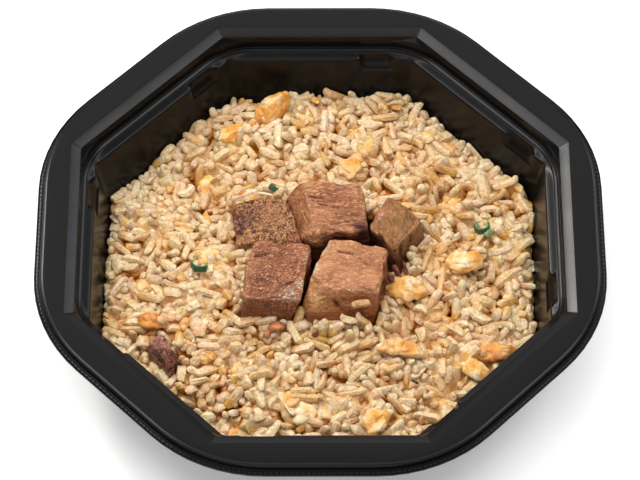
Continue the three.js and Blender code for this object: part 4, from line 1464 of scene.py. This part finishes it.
# %% Scraps of egg
# Each row: x, y, length, width, thickness, yaw, tilt, lift, browning.
SCRAPS = np.array([
    [-38.0, 32.2, 7.6, 6.4, 2.2, 80, 0, 0.3, 0.1], [16.3, 48.5, 7.0, 6.0, 2.6, 20, 0, 0.4, 0.1],
    [37.5, 53.6, 7.6, 4.0, 2.4, 80, 10, 0.6, 0.15], [-9.9, -55.3, 7.0, 5.0, 3.0, 40, 0, 0.6, 0.15],
    [-28.1, -65.9, 5.5, 4.0, 2.4, 30, 0, 0.5, 0.5], [-55.6, 46.2, 6.0, 3.0, 2.2, -12, 0, 0.6, 0.2],
    [26.7, 65.2, 8.0, 3.4, 1.6, 100, 55, 2.0, 0.7], [70.1, 26.1, 7.0, 5.0, 2.4, 80, 20, 0.6, 0.3],
    [36.0, 16.6, 6.0, 4.0, 2.4, 70, 0, 0.3, 0.45], [1.4, -59.2, 5.0, 4.0, 2.6, -30, 0, 0.4, 0.0],
    [-38.5, 0.0, 8.6, 5.0, 2.4, 20, 0, 0.4, 0.0], [-60.0, -9.0, 6.5, 4.6, 2.6, 10, 0, 0.4, 0.25],
    [-1.3, 68.5, 7.5, 3.2, 1.8, 90, 50, 2.0, 0.2], [-6.1, -58.8, 8.6, 7.0, 3.6, 10, 0, 0.5, -0.2],
    [45.3, 47.5, 6.0, 4.5, 2.2, 30, 10, 0.6, 0.5], [27.6, 40.5, 5.0, 4.0, 2.2, 60, 0, 0.4, 0.35],
    [14.0, 41.0, 6.5, 3.6, 2.2, 5, 0, 0.4, 0.35], [-4.3, 53.7, 4.6, 3.4, 2.0, 0, 0, 0.3, 0.35],
    [-16.7, 44.5, 3.6, 3.0, 1.8, 70, 0, 0.3, 0.6], [-27.0, -44.0, 6.5, 4.0, 2.4, 75, 0, 0.4, 0.2],
    [-45.0, -26.0, 4.6, 3.4, 2.0, 10, 0, 0.4, 0.5], [-38.7, 16.2, 7.4, 3.0, 2.0, 105, 10, 0.5, 0.6],
    [-26.2, 23.6, 4.2, 3.4, 2.0, 60, 0, 0.5, 0.8], [-45.5, -8.0, 5.4, 3.0, 2.0, 5, 0, 0.4, 0.45],
    [46.0, 25.0, 5.0, 3.6, 2.0, 60, 0, 0.4, 0.2], [40.0, -56.0, 4.6, 3.4, 2.0, -20, 0, 0.3, 0.3],
    [-66.0, 18.0, 4.5, 3.4, 2.2, 40, 0, 0.4, 0.2], [63.0, -14.0, 5.2, 3.4, 2.2, 70, 0, 0.4, 0.15],
])
UNIT_SCRAP = ball(22, 14)
SCRAP_SUNK = 1.6


def small_curds(name, spots, sizes, yaws, tilts, bend, first, crumple):
    """Small curds joined into one piece, with the places, creases and swells of all points.
    first is the noise of the first one."""
    unit, quads, caps = UNIT_SCRAP
    parts = [
        curd_points(unit, spot, size, yaw, tilt, bend, first + k, crumple)
        for k, (spot, size, yaw, tilt) in enumerate(zip(spots, sizes, yaws, tilts))
    ]
    p, crease, swell = (np.concatenate(group) for group in zip(*parts))
    p = held_inside(p)
    piece = put_mesh(name, p, *copies_of(len(spots), len(unit), quads, caps))
    return piece, p, crease, swell


def egg_scraps():
    """Every scrap at the grains' level. A negative browning marks egg white."""
    x, y, yaw, tilt, lift, brown = SCRAPS[:, [0, 1, 5, 6, 7, 8]].T
    spots = np.column_stack([x, y, map_at(grain_level, x, y) - SCRAP_SUNK + lift])
    sizes = SCRAPS[:, 2:5] * [1.15, 1.2, 1.1]
    piece, _, crease, swell = small_curds("egg_scraps", spots, sizes, yaw, tilt, 0.25, 40, 0.6)
    brown = np.repeat(brown, len(UNIT_SCRAP[0]))
    # A little brown in the creases is painted shade in the folds.
    paint(piece, "brown_and_crease_shade", np.clip(brown * (0.6 + 0.6 * swell) + 0.1 * crease, 0, 1))
    paint(piece, "pale", np.clip(0.5 + 0.5 * swell - np.minimum(brown, 0) * 1.6, 0, 1))
    return piece


place(egg_scraps(), egg, "scrambled_egg")

# %% [markdown]
# Egg that breaks up further is left as crumbs of 1 to 3 mm. They are too small for folds, so
# a crumb is a coarse ball, stretched by chance and with each point moved in or out.

# %% Crumbs of egg
CRUMBS = 40
CRUMB_REACH = 68
UNIT_CRUMB = ball(9, 5)


def egg_crumbs():
    """Lumpy balls on seeded spots, where the rice isn't in a pit or well."""
    unit, quads, caps = UNIT_CRUMB
    spots = random.uniform(-70, 70, (CRUMBS * 3, 2))
    flat = np.column_stack([spots, np.zeros(len(spots))])
    free = (octagon_apothem(*spots.T) < CRUMB_REACH) & ~in_well(flat) & (in_pit(flat) < 0.1)
    spots = spots[free][:CRUMBS]
    count = len(spots)
    size = random.uniform(0.6, 1.5, (count, 1, 1))
    size = size * random.uniform([0.7, 0.5, 0.35], 1, (count, 1, 3))
    lumpy = 1 + random.normal(0, 0.14, (count, len(unit), 1))
    turn = random.uniform(0, 2 * np.pi, (count, 1))
    local = unit[None] * size * lumpy
    x = local[..., 0] * np.cos(turn) - local[..., 1] * np.sin(turn) + spots[:, :1]
    y = local[..., 0] * np.sin(turn) + local[..., 1] * np.cos(turn) + spots[:, 1:]
    z = local[..., 2] + map_at(near_tops, *spots.T)[:, None] - 0.2
    points = held_inside(np.stack([x, y, z], -1).reshape(-1, 3))
    piece = put_mesh("egg_crumbs", points, *copies_of(count, len(unit), quads, caps))
    brown = np.repeat(random.choice([0.0, 0.3], count, p=[0.7, 0.3]), len(unit))
    paint(piece, "brown_and_crease_shade", brown)
    paint(piece, "pale", np.repeat(random.uniform(0, 0.8, count), len(unit)))
    return piece


place(egg_crumbs(), egg, "scrambled_egg")

# %% [markdown]
# ## Crumbs of pork
#
# Braised meat sheds shreds and crumbs where it was cut. Two larger reddish bits lie before the
# front cubes, and shreds hang at the foot of the right one. They are the same lumpy balls,
# drawn out along their length and painted as meat.

# %% Crumbs of pork
# Each row: x, y, z, length, width, thickness, yaw, tilt.
MEAT_CRUMBS = np.array([
    [-14.3, -30.4, 23.6, 7.0, 4.4, 3.4, 15, 0], [-17.8, -33.0, 22.8, 3.6, 2.6, 2.2, 60, 0],
    [26.0, -9.6, 24.2, 7.0, 2.4, 2.2, -60, 25], [28.4, -8.0, 24.6, 6.0, 2.0, 2.0, -75, 30],
    [24.4, -11.6, 23.4, 4.6, 2.4, 2.0, -20, 10], [-2.0, -33.0, 22.4, 2.6, 2.0, 1.8, 0, 0],
])


def pork_crumbs():
    """Every crumb as a small curd shape with the meat's own paint, joined into one piece."""
    spots, sizes = MEAT_CRUMBS[:, :3], MEAT_CRUMBS[:, 3:6]
    yaws, tilts = MEAT_CRUMBS[:, 6], MEAT_CRUMBS[:, 7]
    piece, p, crease, swell = small_curds("pork_crumbs", spots, sizes, yaws, tilts, 0.1, 90, 0.9)
    # Creases are darker: painted shade in the folds.
    paint(piece, "tone_and_shade", np.clip(0.5 + 0.3 * swell - 0.2 * crease, 0, 1))
    paint(piece, "grain", np.full(len(p), 1.2))
    browned = np.linspace(0, 1, len(MEAT_CRUMBS)).repeat(len(UNIT_SCRAP[0]))[:, None] > 0.3
    paint(piece, "meat", np.where(browned, linear("9E5942")[:3], linear("E79B64")[:3]))
    paint(piece, "fibres", p * MM)
    return piece


place(pork_crumbs(), pork, "braised_pork")

# %% [markdown]
# ## Spring onion
#
# The green end of a spring onion is a hollow tube, sliced across with a knife, so each bit is
# part of a short tube about 5 mm wide: dark green and waxy outside, pale inside. A bit is an
# arc carried along its own width: where on the arc and where in the wall give each point. The
# three are a standing arch on the left, a curled slice on the right, and a dark leaf with a
# pale layer behind the pork.

# %% Slices of spring onion
ARC_STEPS = 26
WALL_POINTS = 10
# Each row: x, y, lift, radius, from and to in degrees, width, wall, lie, yaw, paleness.
ONION = np.array([
    [-40.8, -5.4, 1.0, 2.6, -150, 80, 2.4, 0.9, 62, -12, 0.0],
    [55.4, 12.0, 0.6, 2.2, -190, 110, 2.4, 1.2, 70, 20, 0.0],
    [57.0, 10.8, 0.7, 1.6, -60, 60, 2.0, 0.9, 30, 60, 0.4],
    [-15.6, 25.6, 0.9, 2.3, -48, 44, 2.0, 0.7, 35, -40, 0.0],
    [-18.2, 24.0, -1.2, 7.0, -24, 22, 0.9, 0.7, 30, -14, 1.0],
])


def onion_bits():
    """Along the arc, x = r sin(a) and z = r cos(a); the section round it is a thin rounded
    strip, width by wall. Then it lies back by an angle about x and turns about z."""
    around = np.arange(WALL_POINTS) * 2 * np.pi / WALL_POINTS
    across = np.sign(np.cos(around)) * np.abs(np.cos(around)) ** 0.5 / 2
    through = np.sign(np.sin(around)) * np.abs(np.sin(around)) ** 0.7 / 2
    grids, greens = [], []
    for x, y, lift, radius, start, end, width, wall, lie, yaw, pale in ONION:
        a = np.radians(np.linspace(start, end, ARC_STEPS))[:, None]
        wave = 1 + 0.06 * np.sin(5 * a + x)
        r = radius * wave + wall * through
        p = np.stack([r * np.sin(a), width * across * wave, r * np.cos(a) - radius * 0.4], -1)
        ends = p[[0, -1]].mean(axis=1)
        p = np.concatenate([p.reshape(-1, 3), ends])
        c, s = np.cos(np.radians(lie)), np.sin(np.radians(lie))
        p = p @ np.array([[1, 0, 0], [0, c, s], [0, -s, c]])
        level = map_at(grain_level, np.array([x]), np.array([y]))[0]
        grids.append(turned(p, 0, yaw) + [x, y, level + lift])
        inner = np.clip(0.5 - 1.2 * through, 0, 1) * 0.5
        shade = np.broadcast_to(pale + inner, r.shape)
        greens.append(np.append(shade.ravel(), [pale, pale]))
    one = closed_faces(ARC_STEPS, WALL_POINTS, flip=True)
    faces = copies_of(len(ONION), ARC_STEPS * WALL_POINTS + 2, *one)
    piece = put_mesh("spring_onion", np.concatenate(grids), *faces)
    paint(piece, "pale", np.clip(np.concatenate(greens), 0, 1))
    return piece


# %% [markdown]
# The outer skin of the leaf is waxy, so it shines, and is streaked along its length by fine
# veins. Wilted by the pan it is a deep bluish green, and the cut inside is pale yellow-green.


# %% Onion leaf
def onion_leaf():
    material = new_material("onion_leaf")
    where = node(material, "ShaderNodeTexCoord").outputs["Object"]
    pale = node(material, "ShaderNodeAttribute", {"attribute_name": "pale"}).outputs["Fac"]
    vein = node(material, "ShaderNodeTexNoise", Vector=where, Scale=1 / (0.6 * MM), Detail=2.0)
    shift = node(material, "ShaderNodeMath", {"operation": "MULTIPLY_ADD"},
                 Value=vein.outputs["Fac"], Value_001=0.4, Value_002=pale)
    level = node(material, "ShaderNodeMapRange", Value=shift.outputs["Value"], From_Min=0.1,
                 From_Max=1.2)
    green = node(material, "ShaderNodeValToRGB", Fac=level.outputs["Result"],
                 stops=[(0.0, "1A3422"), (0.25, "3A6640"), (0.55, "86A066"), (0.8, "C4C595"),
                        (1.0, "DCD3AC")])
    return moist_food(material, green.outputs["Color"], vein.outputs["Fac"], (0.4, 0.15),
                      Roughness=0.4, Subsurface_Weight=0.15, Subsurface_Scale=0.8,
                      Subsurface_Radius=(0.6, 1.0, 0.3), Coat_Weight=0.5, Coat_Roughness=0.15)


place(onion_bits(), onion_leaf(), "scrambled_egg")

# %% [markdown]
# ## Camera, floor and light
#
# The tray is seen from in front and well above, through a long lens, so that its sides hardly
# converge.

# %% Camera
AIM = Vector((-0.0001, -0.0055, 0.038))
ELEVATION = np.radians(55.35)
AZIMUTH = np.radians(-0.12)
DISTANCE = 1.1738

scene = bpy.context.scene
scene.view_settings.view_transform = "Standard"
lens = bpy.data.cameras.new("camera")
lens.lens = 198.45
lens.sensor_width = 36
lens.clip_start = 0.05
camera = bpy.data.objects.new("camera", lens)
scene.collection.objects.link(camera)
scene.camera = camera
way = Vector((
    np.sin(AZIMUTH) * np.cos(ELEVATION),
    -np.cos(AZIMUTH) * np.cos(ELEVATION),
    np.sin(ELEVATION),
))
camera.location = AIM + DISTANCE * way
camera.rotation_euler = way.to_track_quat("Z", "Y").to_euler()
print("camera at", [round(v, 4) for v in camera.location])

# %% [markdown]
# Food is lit from behind, which brings out its relief and leaves the cubes' near faces dark: a
# small bright panel stands behind on the left and a weaker, larger one behind on the right.
# Black plastic shows little but the lights it mirrors, so each of its slopes has one: a strip
# above for the rim, a tall panel behind for the far parts and the floor of the flange, one in
# front for the near bevel, and one at each side for the shoulders. A broad overhead light
# evens out the food, and is hidden from reflections so as not to grey the tray.


# %% Floor and lights
def soft_light(name, spot, power, size, colour="FFFFFF", in_gloss=True):
    """An area light, width by height in metres, that looks at the dish. in_gloss says if it
    shows in reflections."""
    data = bpy.data.lights.new(name, "AREA")
    data.energy = power
    data.shape = "RECTANGLE"
    data.size, data.size_y = size
    data.color = linear(colour)[:3]
    light = bpy.data.objects.new(name, data)
    light.location = spot
    light.rotation_euler = Vector(spot).to_track_quat("Z", "Y").to_euler()
    light.visible_glossy = in_gloss
    scene.collection.objects.link(light)
    return light


def table_top():
    """A plain pale floor under the tray, part of the set and not of the dish."""
    reach = 3000.0
    corner = np.array([[-1, -1], [1, -1], [1, 1], [-1, 1]]) * reach
    floor = put_mesh("floor", np.column_stack([corner, np.full(4, -0.05)]),
                     np.array([[0, 1, 2, 3]]), smooth=False)
    material = new_material("lit_white_acrylic")
    shader = node(material, "ShaderNodeBsdfPrincipled", Base_Color=linear("F4F4F3"),
                  Roughness=0.9, Emission_Color=linear("FFFFFF"), Emission_Strength=0.25)
    node(material, "ShaderNodeOutputMaterial", Surface=shader.outputs["BSDF"])
    floor.data.materials.append(material)


table_top()
soft_light("key", (-0.72, 0.75, 0.96), 7.5, (0.25, 0.25), "FFFCF7")
soft_light("fill", (0.9, 0.82, 0.95), 3.8, (0.5, 0.5), "F8FAFF")
soft_light("overhead", (0.0, 0.0, 1.4), 14.2, (1.6, 1.6), in_gloss=False)
soft_light("strip", (0.0, -0.12, 1.38), 2.4, (1.0, 0.35))
soft_light("back", (0.0, 1.13, 0.82), 4.2, (0.9, 1.5))
soft_light("front", (-0.4, -1.08, 0.55), 4.0, (0.9, 0.9))
soft_light("side_left", (-0.68, 0.17, 1.22), 4.4, (0.38, 0.38))
soft_light("side_right", (0.72, 0.12, 1.2), 3.2, (0.4, 0.4))

# %% [markdown]
# Black plastic mirrors the whole room. A dim, even one keeps its dark parts dark, and the
# backdrop is drawn paler only where the camera looks straight at it.


# %% Studio surroundings
def studio_world():
    """A dim room for the dish to reflect, and a pale backdrop where it is seen directly."""
    world = bpy.data.worlds.new("studio")
    world.use_nodes = True
    tree = world.node_tree
    backdrop = tree.nodes["Background"]
    rays = tree.nodes.new("ShaderNodeLightPath")
    seen = tree.nodes.new("ShaderNodeMapRange")
    tree.links.new(rays.outputs["Is Camera Ray"], seen.inputs["Value"])
    seen.inputs["To Min"].default_value = 0.1
    seen.inputs["To Max"].default_value = 0.8
    tree.links.new(seen.outputs["Result"], backdrop.inputs["Strength"])
    backdrop.inputs["Color"].default_value = linear("F6F7F9")
    return world


scene.world = studio_world()
